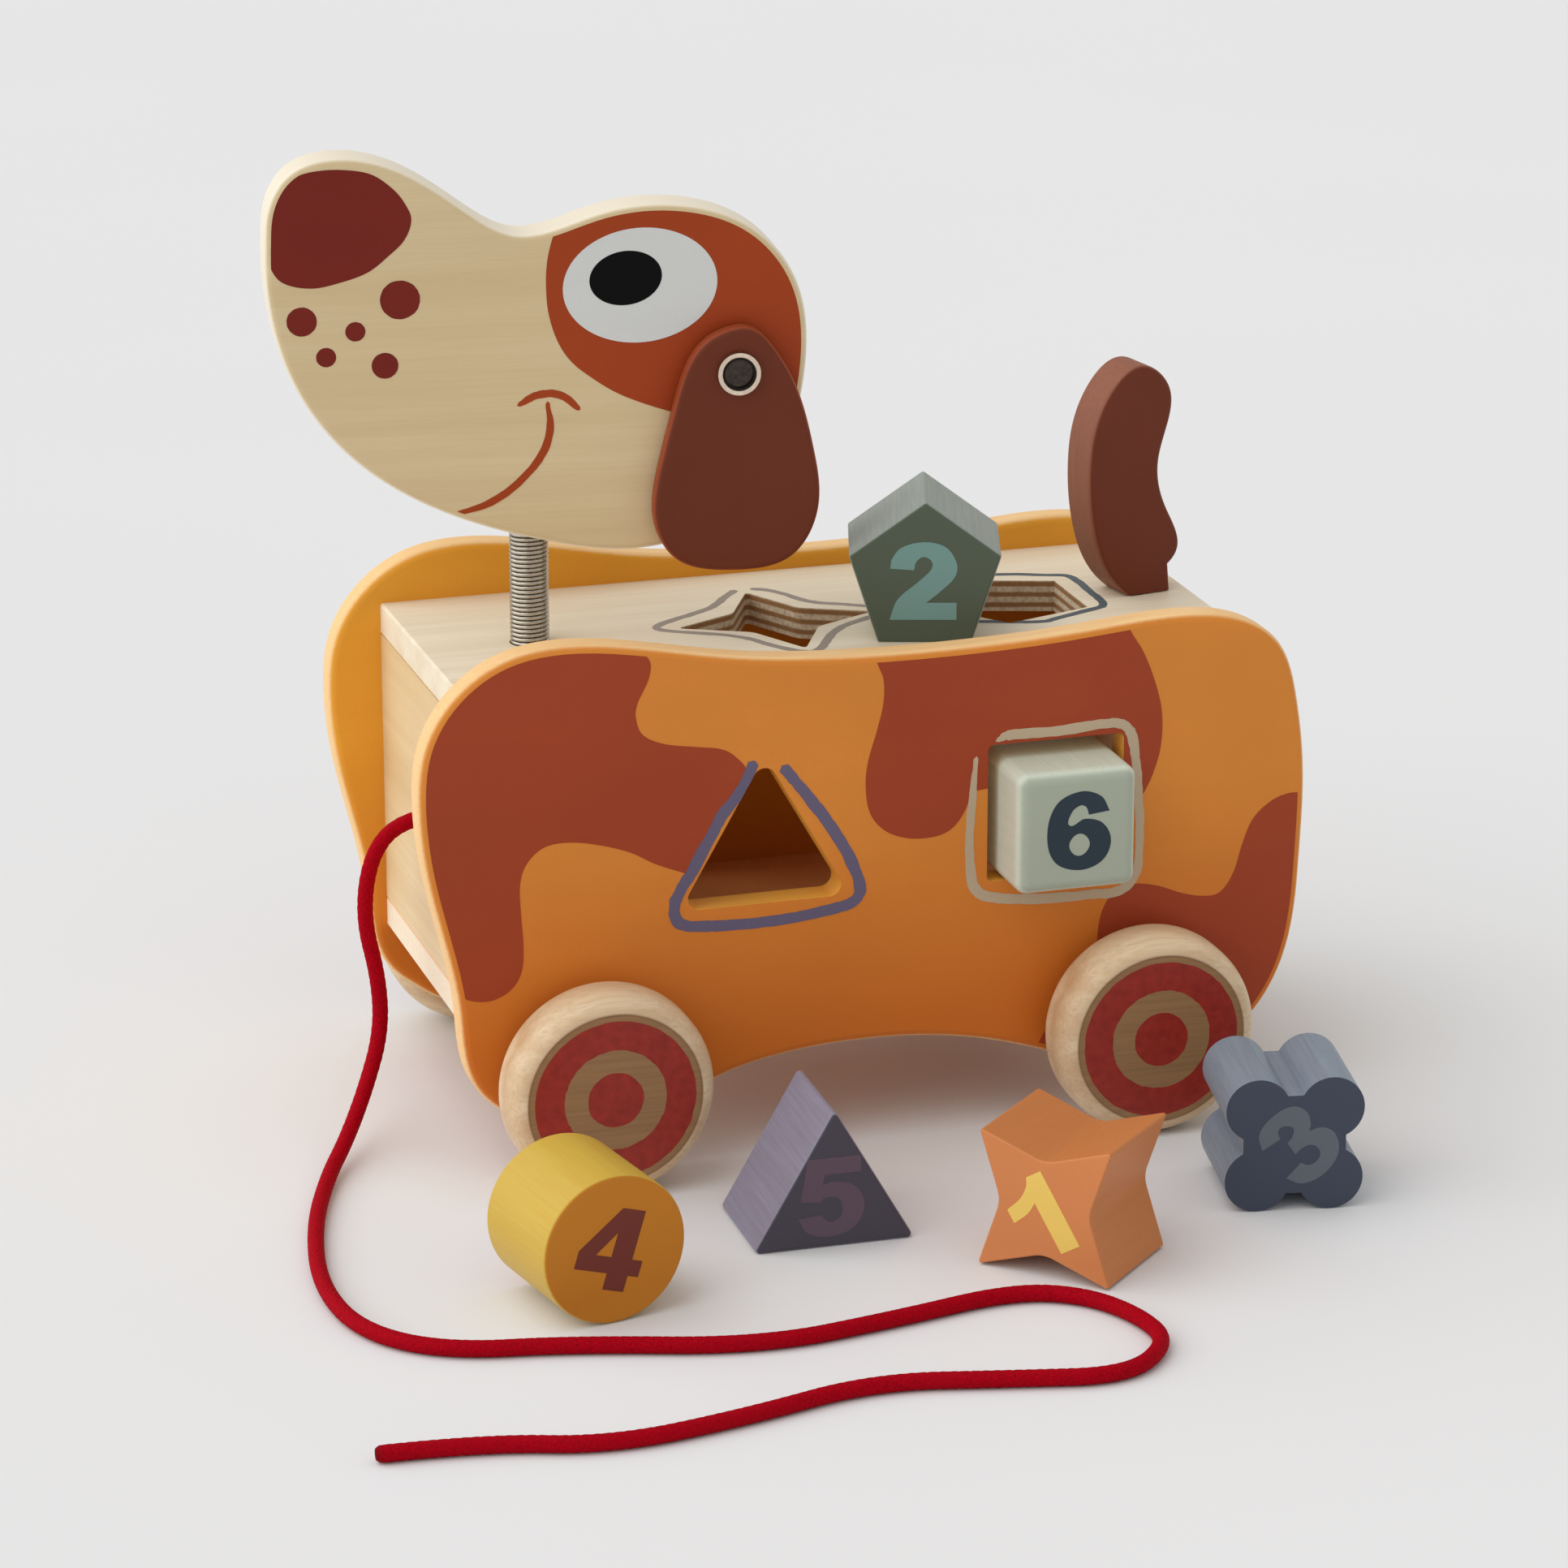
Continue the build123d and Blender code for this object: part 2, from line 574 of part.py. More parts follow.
# ---- pull cord ------------------------------------------------------------------------
# The cord is knotted behind the front board and passes through its hole.
with BuildPart() as cord_knot:
    with BuildSketch(Plane.XZ):
        inside = -BOX_HALF_X + PLY
        with Locations((inside + KNOT_HALF_LENGTH, CORD_EXIT_Z)):
            Ellipse(KNOT_HALF_LENGTH, KNOT_R)
        with Locations((inside + KNOT_HALF_LENGTH, CORD_EXIT_Z - KNOT_R)):
            Rectangle(3 * KNOT_HALF_LENGTH, 2 * KNOT_R, mode=Mode.SUBTRACT)
    revolve(axis=Axis((0, 0, CORD_EXIT_Z), (1, 0, 0)))
    with BuildSketch(Plane.YZ.offset(-BOX_HALF_X)):
        with Locations((0, CORD_EXIT_Z)):
            Circle(CORD_R)
    extrude(amount=PLY + CORD_TO_KNOT)
save(cord_knot.part, "cord_knot")

CORD_ROUTE = [
    (-98.8, 0, 77), (-110, 0, 77), (-119, -1, 68.5), (-118, -3, 54), (-114, -4.5, 38.5),
    (-114.5, -7, 24), (-120, -15, 13), (-127.5, -27, 5), (-135, -42, 2),
    (-144.5, -70, 2), (-151.5, -105, 2), (-149, -133, 2), (-132, -149.5, 2),
    (-104, -154, 2), (-64, -167.5, 2), (-30, -162, 2), (0, -154, 2), (16, -162, 2),
    (24, -178, 2), (25, -195, 2), (11, -207.5, 2), (-16, -202, 2), (-46, -193.5, 2),
    (-78, -203, 2), (-110, -208.5, 2), (-136, -199, 2), (-159.6, -198, 2),
]


def bend_radii(route):
    """The largest radius that the two runs at each point leave room for."""
    points = [Vector(*p) for p in route]
    radii = []
    for a, b, c in zip(points, points[1:], points[2:]):
        turn = radians((b - a).get_angle(c - b))
        radii.append(0.45 * min((b - a).length, (c - b).length) / tan(turn / 2))
    return radii


cord_radii = bend_radii(CORD_ROUTE)
print("cord bend radii:", [round(r, 1) for r in cord_radii])
with BuildPart() as pull_cord:
    with BuildLine() as cord_path:
        FilletPolyline(*CORD_ROUTE, radius=cord_radii)
    with BuildSketch(Plane(cord_path.line @ 0, z_dir=cord_path.line % 0)):
        Circle(CORD_R)
    sweep()
save(pull_cord.part, "pull_cord")
cord_length = cord_path.wires()[0].length
cord_section = pi * CORD_R ** 2
print("cord length:", round(cord_length, 1))
print("volume over section times length:", round(pull_cord.part.volume / (cord_section * cord_length), 4))
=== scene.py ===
import math
import random

import bpy
import bmesh
import numpy as np
from mathutils import Matrix, Vector
from mathutils.geometry import tessellate_polygon


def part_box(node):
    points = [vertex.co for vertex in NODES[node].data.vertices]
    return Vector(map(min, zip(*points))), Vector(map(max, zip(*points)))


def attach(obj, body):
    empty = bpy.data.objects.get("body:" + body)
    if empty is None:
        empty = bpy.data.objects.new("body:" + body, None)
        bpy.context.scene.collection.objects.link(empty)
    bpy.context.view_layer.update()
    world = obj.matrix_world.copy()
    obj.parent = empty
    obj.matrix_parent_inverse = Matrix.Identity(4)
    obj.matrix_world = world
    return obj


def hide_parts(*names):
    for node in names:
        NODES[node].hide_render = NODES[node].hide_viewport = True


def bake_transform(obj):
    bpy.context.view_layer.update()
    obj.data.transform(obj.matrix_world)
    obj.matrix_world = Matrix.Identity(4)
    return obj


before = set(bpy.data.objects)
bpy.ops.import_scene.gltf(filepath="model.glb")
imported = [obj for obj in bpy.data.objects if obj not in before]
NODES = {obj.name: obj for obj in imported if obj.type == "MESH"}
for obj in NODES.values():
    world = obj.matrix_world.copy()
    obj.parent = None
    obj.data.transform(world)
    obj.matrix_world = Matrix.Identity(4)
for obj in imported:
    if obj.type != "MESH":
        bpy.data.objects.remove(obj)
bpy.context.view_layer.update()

MM = 0.001


def node_box(node):
    """Lowest and highest corner of a CAD node in millimetres."""
    low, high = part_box(node)
    return [c / MM for c in low], [c / MM for c in high]


def middle(node):
    low, high = node_box(node)
    return [(a + b) / 2 for a, b in zip(low, high)]


PANEL_FACE = -node_box("left_side_panel")[0][1]
DECK_Z = node_box("top_board")[1][2]
DECK_HALF_X = node_box("top_board")[1][0]
NECK_X = middle("neck_spring")[0]
NECK_Z = 133.5            # where the neck bends
TAIL_X = middle("tail_screw")[0]
HEAD_TURN = -7.0
HEAD_HALF = 6.0           # half the head's thickness
TAIL_TURN = 10.0

# Each block's numbered face: x, y and turn about the vertical.
BLOCKS = {
    "star_block": (11.2, -145.2, -46.0),
    "pentagon_block": (20.2, -29.5, -17.2),
    "flower_block": (82.0, -124.0, -10.4),
    "cylinder_block": (-90.2, -141.0, 11.4),
    "triangle_block": (-29.2, -113.0, -1.0),
    "cube_block": (0.0, node_box("cube_block")[0][1], 0.0),
}


# ---- camera --------------------------------------------------------------------
CAMERA_PLACE = Vector((-0.4056, -1.2890, 0.5189))
CAMERA_YAW = math.radians(17.2)
CAMERA_DOWN = math.radians(18.15)
CAMERA_LENS = 130.6


def make_camera():
    data = bpy.data.cameras.new("camera")
    data.lens = CAMERA_LENS
    data.sensor_width = 36.0
    data.clip_end = 30.0
    camera = bpy.data.objects.new("camera", data)
    bpy.context.scene.collection.objects.link(camera)
    level = math.cos(CAMERA_DOWN)
    look = Vector((math.sin(CAMERA_YAW) * level, math.cos(CAMERA_YAW) * level, -math.sin(CAMERA_DOWN)))
    camera.location = CAMERA_PLACE
    camera.rotation_euler = look.to_track_quat("-Z", "Y").to_euler()
    bpy.context.scene.camera = camera


# ---- small helpers for materials ---------------------------------------------------
def linear(r, g, b):
    """An sRGB colour of 0 to 255 as Blender's linear colour."""
    def one(c):
        c = c / 255
        return c / 12.92 if c <= 0.04045 else ((c + 0.055) / 1.055) ** 2.4
    return (one(r), one(g), one(b), 1.0)


def shade(colour, factor):
    return tuple(min(1.0, c * factor) for c in colour[:3]) + (1.0,)


MIX_A, MIX_B, MIX_OUT = 6, 7, 2   # the colour sockets of a mix node


class Shader:
    """A node material that is put together step by step."""

    def __init__(self, name, roughness=0.5, specular=0.5):
        self.material = bpy.data.materials.new(name)
        self.material.use_nodes = True
        self.tree = self.material.node_tree
        self.bsdf = self.tree.nodes["Principled BSDF"]
        self.bsdf.inputs["Roughness"].default_value = roughness
        self.bsdf.inputs["Specular IOR Level"].default_value = specular
        self.where = self.tree.nodes.new("ShaderNodeTexCoord")

    def link(self, a, b):
        self.tree.links.new(a, b)

    def node(self, kind, **settings):
        made = self.tree.nodes.new(kind)
        for key, value in settings.items():
            setattr(made, key, value)
        return made

    def math(self, operation, a, b=None, clamp=False):
        made = self.node("ShaderNodeMath", operation=operation, use_clamp=clamp)
        for k, value in enumerate((a, b)):
            if value is None:
                continue
            if isinstance(value, (int, float)):
                made.inputs[k].default_value = value
            else:
                self.link(value, made.inputs[k])
        return made.outputs[0]

    def placed(self, turn=0.0, origin=(0, 0, 0), scale=(1, 1, 1)):
        """Object coordinates about an origin, turned about Z and then stretched."""
        move = self.node("ShaderNodeMapping", vector_type="TEXTURE")
        move.inputs["Location"].default_value = origin
        move.inputs["Rotation"].default_value = (0, 0, turn)
        self.link(self.where.outputs["Object"], move.inputs["Vector"])
        stretch = self.node("ShaderNodeMapping", vector_type="POINT")
        stretch.inputs["Scale"].default_value = scale
        self.link(move.outputs["Vector"], stretch.inputs["Vector"])
        return stretch.outputs["Vector"]

    def noise(self, vector, scale=1.0, detail=3.0, rough=0.5, distortion=0.0):
        made = self.node("ShaderNodeTexNoise")
        made.inputs["Scale"].default_value = scale
        made.inputs["Detail"].default_value = detail
        made.inputs["Roughness"].default_value = rough
        made.inputs["Distortion"].default_value = distortion
        self.link(vector, made.inputs["Vector"])
        return made.outputs["Fac"]

    def range(self, value, low, high, to_low=0.0, to_high=1.0):
        made = self.node("ShaderNodeMapRange")
        self.link(value, made.inputs["Value"])
        for key, number in (("From Min", low), ("From Max", high), ("To Min", to_low), ("To Max", to_high)):
            made.inputs[key].default_value = number
        return made.outputs["Result"]

    def mix(self, factor, a, b, blend="MIX"):
        made = self.node("ShaderNodeMix", data_type="RGBA", blend_type=blend)
        for key, value in (("Factor", factor), (MIX_A, a), (MIX_B, b)):
            socket = made.inputs[key]
            if isinstance(value, (int, float, tuple)):
                socket.default_value = value
            else:
                self.link(value, socket)
        return made.outputs[MIX_OUT]

    def split(self, vector):
        made = self.node("ShaderNodeSeparateXYZ")
        self.link(vector, made.inputs[0])
        return made.outputs

    def facing(self, axis, turn=0.0):
        """How squarely the surface looks along an axis of a frame turned about Z, from 0 to 1."""
        normal = self.node("ShaderNodeMapping", vector_type="TEXTURE")
        normal.inputs["Rotation"].default_value = (0, 0, turn)
        self.link(self.where.outputs["Normal"], normal.inputs["Vector"])
        return self.math("ABSOLUTE", self.split(normal.outputs["Vector"])["xyz".index(axis)])

    def colour(self, value):
        self.link(value, self.bsdf.inputs["Base Color"])

    def roughness(self, value):
        self.link(value, self.bsdf.inputs["Roughness"])

    def bump(self, height, strength, distance):
        made = self.node("ShaderNodeBump")
        made.inputs["Strength"].default_value = strength
        made.inputs["Distance"].default_value = distance
        self.link(height, made.inputs["Height"])
        self.link(made.outputs["Normal"], self.bsdf.inputs["Normal"])


# ---- wood and paint -----------------------------------------------------------------
BIRCH = linear(234, 219, 190)
BIRCH_DARK = linear(214, 190, 152)
BIRCH_PALE = linear(243, 232, 208)
PLY_DARK = linear(150, 112, 72)
ORANGE = linear(226, 141, 56)
# painted shade: a deeper, redder orange for the lower parts of the panels, which get less light
ORANGE_SHADE_LOW = linear(209, 108, 31)
# paler edge paint that is partly a painted highlight, where the panels' edges catch the light
ORANGE_EDGE_AND_HIGHLIGHT = linear(248, 208, 150)
# painted highlight: a brighter orange on the walls of the side panels' holes, for the light they catch
HOLE_WALL_HIGHLIGHT = linear(250, 184, 76)
HOLES_X = 75              # mm, the side panels' holes lie nearer to the middle than this
HOLES_LOW, HOLES_HIGH = 48, 108
# painted light: the far panel has the same paint as the near one, given here a lighter, yellower copy for its
# lit inner face
FAR_ORANGE_LIT = linear(238, 166, 54)
ORANGE_WASH = linear(240, 162, 100)
PATCH = linear(166, 68, 36)
BROWN = linear(108, 49, 28)
NOSE = linear(119, 32, 20)
PAINT_GLOSS = 0.2
LOW_SHADE_FROM, LOW_SHADE_FULL = 85, 30   # mm above the floor, where the painted shade towards the floor starts and is full


def grain(s, vector_turn=0.0, origin=(0, 0, 0), along="x", fine=1.0):
    """Soft bands and fine fibres along one axis, from 0 to 1."""
    long, wide = 9.0, 330.0 * fine
    scales = {"x": (long, wide, wide), "y": (wide, long, wide), "z": (wide, wide, long)}[along]
    bands = s.noise(s.placed(vector_turn, origin, scales), 0.35, 4.0, 0.55, 0.3)
    fibres = s.noise(s.placed(vector_turn, origin, tuple(4.0 * v for v in scales)), 1.0, 3.0, 0.6)
    return bands, fibres


def wood(name, base=BIRCH, dark=BIRCH_DARK, pale=BIRCH_PALE, along="x", turn=0.0, origin=(0, 0, 0),
         layers=None, layer_size=1.35, contrast=0.6, ends=None, rim=None):
    """Lacquered pale wood. layers is the axis across the plies, which show on the cut edges, but not
    beyond ends along x. rim is the colour of the edges of a board that shows no plies."""
    s = Shader(name, roughness=0.42, specular=0.3)
    bands, fibres = grain(s, turn, origin, along)
    colour = s.mix(s.range(bands, 0.35, 0.7, 0.0, 0.85 * contrast), pale, dark)
    colour = s.mix(s.range(fibres, 0.45, 0.75, 0.0, 0.35 * contrast), colour, shade(dark, 0.88))
    blotch = s.noise(s.placed(turn, origin, (14, 40, 40)), 1.0, 2.0)
    colour = s.mix(s.range(blotch, 0.35, 0.7, 0.0, 0.35), colour, base)
    if rim:
        colour = s.mix(s.range(s.facing("y", turn), 0.9, 0.6), colour, rim)
    if layers:
        axis = {"x": 0, "y": 1, "z": 2}[layers]
        edge = s.range(s.facing(layers, turn), 0.75, 0.35)
        if ends:
            reach = s.math("ABSOLUTE", s.split(s.where.outputs["Object"])[0])
            edge = s.math("MULTIPLY", edge, s.math("LESS_THAN", reach, ends))
        depth = s.split(s.placed(turn, origin))[axis]
        wobble = s.noise(s.placed(turn, origin, (60, 60, 60)), 1.0, 2.0)
        depth = s.math("ADD", depth, s.math("MULTIPLY", wobble, 0.0004))
        ply = s.math("PINGPONG", s.math("DIVIDE", depth, layer_size * MM), 1.0)
        plies = s.mix(s.range(ply, 0.3, 0.62), shade(PLY_DARK, 1.25), BIRCH)
        speck = s.noise(s.placed(turn, origin, (900, 900, 900)), 1.0, 2.0)
        plies = s.mix(s.range(speck, 0.4, 0.7, 0.0, 0.45), plies, shade(PLY_DARK, 0.9))
        colour = s.mix(edge, colour, plies)
    s.colour(colour)
    s.roughness(s.range(fibres, 0.3, 0.8, 0.38, 0.52))
    s.bump(fibres, 0.12, 0.0002)
    return s.material


def painted(name, colour, roughness=0.5, vary=0.10, edge=None, flat_axis="y", turn=0.0, origin=(0, 0, 0),
            along="x", speckle=0.04, low=None, gloss=PAINT_GLOSS, hole_highlight=None):
    """Satin paint on wood: the grain just telegraphs through, and cut edges take the edge colour. On the side
    panels and the tail this is partly a paler edge and partly a painted highlight, on the ears a painted
    highlight, and on the blocks the painted light and shade that set their sides apart from their numbered
    face.
    low is a painted shade towards the floor: a deeper colour on the lower part, which gets less light."""
    s = Shader(name, roughness=roughness, specular=gloss)
    bands, fibres = grain(s, turn, origin, along, fine=0.8)
    cloud = s.noise(s.placed(turn, origin, (22, 22, 22)), 1.0, 3.0)
    result = s.mix(s.range(cloud, 0.35, 0.68), shade(colour, 1.0 - vary / 2), shade(colour, 1.0 + vary / 2))
    result = s.mix(s.range(bands, 0.4, 0.75, 0.0, 0.25), result, shade(colour, 0.9))
    fine = s.noise(s.placed(turn, origin, (1400, 1400, 1400)), 1.0, 2.0)
    result = s.mix(s.range(fine, 0.3, 0.75, 0.0, speckle * 4), result, shade(colour, 0.86))
    # painted shade: the colour turns deeper towards the floor, where less light falls
    if low:
        height = s.split(s.where.outputs["Object"])[2]
        result = s.mix(s.range(height, LOW_SHADE_FROM * MM, LOW_SHADE_FULL * MM, 0.0, 0.8), result, low)
    # painted highlight on the hole walls: inside the holes' region the edge colour turns brighter orange
    if hole_highlight:
        x, _, z = s.split(s.where.outputs["Object"])[:]
        between = s.math("MULTIPLY", s.math("GREATER_THAN", z, HOLES_LOW * MM),
                         s.math("LESS_THAN", z, HOLES_HIGH * MM))
        near = s.math("LESS_THAN", s.math("ABSOLUTE", x), HOLES_X * MM)
        edge = s.mix(s.math("MULTIPLY", between, near), edge, hole_highlight)
    # the edge colour: partly a painted highlight on the panels, ears and tail, and the painted light of the
    # sides on the blocks
    if edge:
        on_edge = s.range(s.facing(flat_axis, turn), 0.86, 0.55)
        result = s.mix(on_edge, result, s.mix(s.range(fibres, 0.3, 0.8, 0.0, 0.3), edge, colour))
    s.colour(result)
    s.roughness(s.range(fine, 0.3, 0.8, roughness - 0.05, roughness + 0.1))
    s.bump(s.math("ADD", s.math("MULTIPLY", fibres, 0.6), fine), 0.10, 0.00012)
    return s.material


RIVET_ALONG = 49.8         # mm from the neck along the head
RIVET_CUP = 4.1            # mm, radius of the hollow in the ear rivet, which is darkened with painted shade
RIVET_EDGE = 0.1           # mm, over which the hollow turns into the rim
RIVET_LINE_IN = 0.35       # mm, how far inside the hollow's edge the shadow line runs
RIVET_LINE = 0.5           # mm, where the shadow line has faded
RIVET_LINE_CORE = 0.1      # mm, up to where it is darkest


def rivet_material(name):
    """A nickel rivet: a bright rim round a hollow darkened with painted shade, with a painted shadow line
    between them.
    """
    s = Shader(name, roughness=0.25)
    s.bsdf.inputs["Metallic"].default_value = 1.0
    place = s.placed(math.radians(HEAD_TURN), (NECK_X * MM, 0, middle(name)[2] * MM))
    along, _, up = s.split(place)[:]
    across = s.math("SUBTRACT", along, RIVET_ALONG * MM)
    radius = s.math("SQRT", s.math("ADD", s.math("MULTIPLY", across, across), s.math("MULTIPLY", up, up)))
    fine = s.noise(s.placed(scale=(900, 900, 900)), 1.0, 3.0)
    rim = s.mix(s.range(fine, 0.3, 0.8), linear(232, 214, 194), linear(208, 188, 168))
    # painted shade: the hollow is given a dark colour
    shaded_cup = s.mix(s.range(fine, 0.3, 0.8), linear(74, 66, 60), linear(56, 50, 46))
    colour = s.mix(s.range(radius, RIVET_CUP * MM, (RIVET_CUP + RIVET_EDGE) * MM), shaded_cup, rim)
    from_line = s.math("ABSOLUTE", s.math("SUBTRACT", radius, (RIVET_CUP - RIVET_LINE_IN) * MM))
    line = s.range(from_line, RIVET_LINE * MM, RIVET_LINE_CORE * MM, 0.0, 0.85)
    s.colour(s.mix(line, colour, linear(30, 25, 22)))
    s.roughness(s.range(fine, 0.3, 0.8, 0.2, 0.36))
    s.bump(fine, 0.08, 0.00005)
    return s.material


def metal(name, colour, roughness=0.25):
    s = Shader(name, roughness=roughness)
    s.bsdf.inputs["Metallic"].default_value = 1.0
    fine = s.noise(s.placed(scale=(900, 900, 900)), 1.0, 3.0)
    s.colour(s.mix(s.range(fine, 0.3, 0.8), shade(colour, 0.82), shade(colour, 1.05)))
    s.roughness(s.range(fine, 0.3, 0.8, roughness - 0.06, roughness + 0.12))
    s.bump(fine, 0.08, 0.00005)
    return s.material


DOT, GAP, RING, FACE = 6.9, 12.6, 19.9, 21.5   # outer radii in mm of the marks on a wheel's face
STEP = 0.45                                    # mm, half the width of the shadow line round the face
WHEEL_OUT = 14                                 # mm past a panel, where a wheel's outer face starts


def wheel_material(name, centre):
    """Lacquered beech with a red target painted on the outer face, whose wood is darkened with painted shade,
    and a painted shadow line round the face's edge.
    """
    s = Shader(name, roughness=0.4, specular=0.35)
    place = s.placed(origin=centre)
    x, y, z = s.split(place)[:]
    radius = s.math("SQRT", s.math("ADD", s.math("MULTIPLY", x, x), s.math("MULTIPLY", z, z)))
    brush = s.noise(s.placed(scale=(420, 420, 420)), 1.0, 3.0)
    ragged = s.math("ADD", radius, s.math("MULTIPLY", s.math("SUBTRACT", brush, 0.5), 0.0006))
    bands, fibres = grain(s, 0.0, centre, "x", fine=0.9)
    pale, dark = linear(232, 209, 174), linear(198, 158, 112)
    timber = s.mix(s.range(bands, 0.35, 0.7, 0.0, 0.8), pale, dark)
    timber = s.mix(s.range(fibres, 0.45, 0.75, 0.0, 0.35), timber, shade(dark, 0.8))
    outside = s.math("GREATER_THAN", s.math("ABSOLUTE", y), (PANEL_FACE + WHEEL_OUT) * MM)
    shown = s.math("MULTIPLY", outside, s.math("LESS_THAN", radius, FACE * MM))
    # painted shade: the wood of the outer face is darker, standing for a face turned from the light
    shaded_face_wood = s.mix(s.range(fibres, 0.35, 0.75, 0.0, 0.5), linear(159, 122, 82), linear(127, 94, 60))
    red = s.mix(s.range(brush, 0.3, 0.7), linear(164, 47, 35), linear(142, 38, 28))
    in_dot = s.math("LESS_THAN", ragged, DOT * MM)
    past_gap = s.math("GREATER_THAN", ragged, GAP * MM)
    in_ring = s.math("MULTIPLY", past_gap, s.math("LESS_THAN", ragged, RING * MM))
    red_here = s.math("ADD", in_dot, in_ring, clamp=True)
    face = s.mix(red_here, shaded_face_wood, red)
    # painted shadow line round the edge of the face, where the rim begins
    from_shadow_line = s.math("ABSOLUTE", s.math("SUBTRACT", radius, FACE * MM))
    step = s.math("MULTIPLY", outside, s.range(from_shadow_line, STEP * MM, 0.0, 0.0, 0.7))
    s.colour(s.mix(step, s.mix(shown, timber, face), linear(120, 84, 56)))
    s.roughness(s.range(fibres, 0.3, 0.8, 0.34, 0.5))
    s.bump(s.math("ADD", s.math("MULTIPLY", red_here, 0.8), fibres), 0.12, 0.0002)
    return s.material


# ---- pull cord -------------------------------------------------------------------
CORD_R = 2.0 * MM
CORD_ROUTE = [
    (-98.8, 0, 77), (-106, 0, 76.2), (-113, -1, 68.2), (-115.8, -4, 54), (-112.6, -6, 38.5),
    (-112.4, -6.5, 24.5), (-118.6, -14, 12.5), (-126.2, -26, 5), (-134.4, -41, 2),
    (-144.3, -70, 2), (-150.8, -105, 2), (-147.8, -133, 2), (-132, -149.5, 2),
    (-104, -154, 2), (-64, -167.5, 2), (-30, -162, 2), (0, -155, 2), (15.6, -162, 2),
    (23.6, -177.5, 2), (24.2, -192.8, 2), (9.5, -207, 2), (-16, -201, 2), (-46, -193.5, 2),
    (-78, -203, 2), (-110, -208.5, 2), (-136, -199, 2), (-159.6, -198, 2),
]
BRAID_AROUND = 8          # strands that cross the cord's outline each way
BRAID_PITCH = 19.0 * MM   # length in which one strand goes once round
BRAID_RELIEF = 0.14 * MM
RING_STEP = 0.5 * MM
RING_POINTS = 32
SEAL_LENGTH = 1.4 * MM    # how much of the far end is rounded
SEAL_TAPER = 0.35
SEAL_DARK = (2.6 * MM, 1.2 * MM)   # from the tip, where the darker colour starts and is full


def spline_points(route):
    """Points along the smooth NURBS line of a route in millimetres, evenly spaced."""
    data = bpy.data.curves.new("route", "CURVE")
    data.dimensions = "3D"
    spline = data.splines.new("NURBS")
    spline.points.add(len(route) - 1)
    for point, place in zip(spline.points, route):
        point.co = (*[c * MM for c in place], 1.0)
    spline.order_u = 3
    spline.use_endpoint_u = True
    spline.resolution_u = 24
    holder = bpy.data.objects.new("route", data)
    bpy.context.scene.collection.objects.link(holder)
    mesh = bpy.data.meshes.new_from_object(holder.evaluated_get(bpy.context.evaluated_depsgraph_get()))
    line = np.array([v.co[:] for v in mesh.vertices])
    bpy.data.objects.remove(holder)
    bpy.data.meshes.remove(mesh)
    run = np.concatenate([[0.0], np.cumsum(np.linalg.norm(np.diff(line, axis=0), axis=1))])
    count = int(run[-1] / RING_STEP) + 1
    at = np.linspace(0, run[-1], count)
    return np.stack([np.interp(at, run, line[:, k]) for k in range(3)], axis=1), float(run[-1])


def frames_along(line):
    """Two turning-free normals at each point of a line."""
    tangents = np.gradient(line, axis=0)
    tangents /= np.linalg.norm(tangents, axis=1)[:, None]
    first = np.cross(tangents[0], (0.0, 1.0, 0.0))
    first /= np.linalg.norm(first)
    normals = [first]
    for tangent in tangents[1:]:
        kept = normals[-1] - tangent * np.dot(normals[-1], tangent)
        normals.append(kept / np.linalg.norm(kept))
    normals = np.array(normals)
    return normals, np.cross(tangents, normals)


def link(name, mesh):
    piece = bpy.data.objects.new(name, mesh)
    bpy.context.scene.collection.objects.link(piece)
    return piece


def tube(name, line, radius_at, around):
    """A closed tube of rings about a line; radius_at(run, angles) gives each ring's radii."""
    normals, sides = frames_along(line)
    run = np.concatenate([[0.0], np.cumsum(np.linalg.norm(np.diff(line, axis=0), axis=1))])
    angles = np.linspace(0, 2 * math.pi, around, endpoint=False)
    points = []
    for k, centre in enumerate(line):
        radii = radius_at(run[k], run[-1], angles)
        ring = np.outer(radii * np.cos(angles), normals[k]) + np.outer(radii * np.sin(angles), sides[k])
        points.extend(centre + ring)
    start, end = len(points), len(points) + 1
    points.append(line[0])
    points.append(line[-1])
    faces = []
    for k in range(len(line) - 1):
        for j in range(around):
            a, b = k * around + j, k * around + (j + 1) % around
            faces.append((a, b, b + around, a + around))
    last = (len(line) - 1) * around
    for j in range(around):
        faces.append((start, (j + 1) % around, j))
        faces.append((end, last + j, last + (j + 1) % around))
    mesh = bpy.data.meshes.new(name)
    mesh.from_pydata([tuple(p) for p in points], [], faces)
    for polygon in mesh.polygons:
        polygon.use_smooth = True
    return link(name, mesh)


def braid_radius(run, whole, angles):
    """Two sets of strands that cross; the far end is heat-sealed and slightly rounded."""
    twist = 2 * math.pi * run / BRAID_PITCH
    one = np.cos(BRAID_AROUND * (angles + twist))
    other = np.cos(BRAID_AROUND * (angles - twist))
    relief = np.maximum(one, other) - 0.5
    left = whole - run
    seal = 1.0 - SEAL_TAPER * max(0.0, 1.0 - left / SEAL_LENGTH) ** 2
    return (CORD_R - 0.5 * BRAID_RELIEF + BRAID_RELIEF * relief * 0.8) * seal


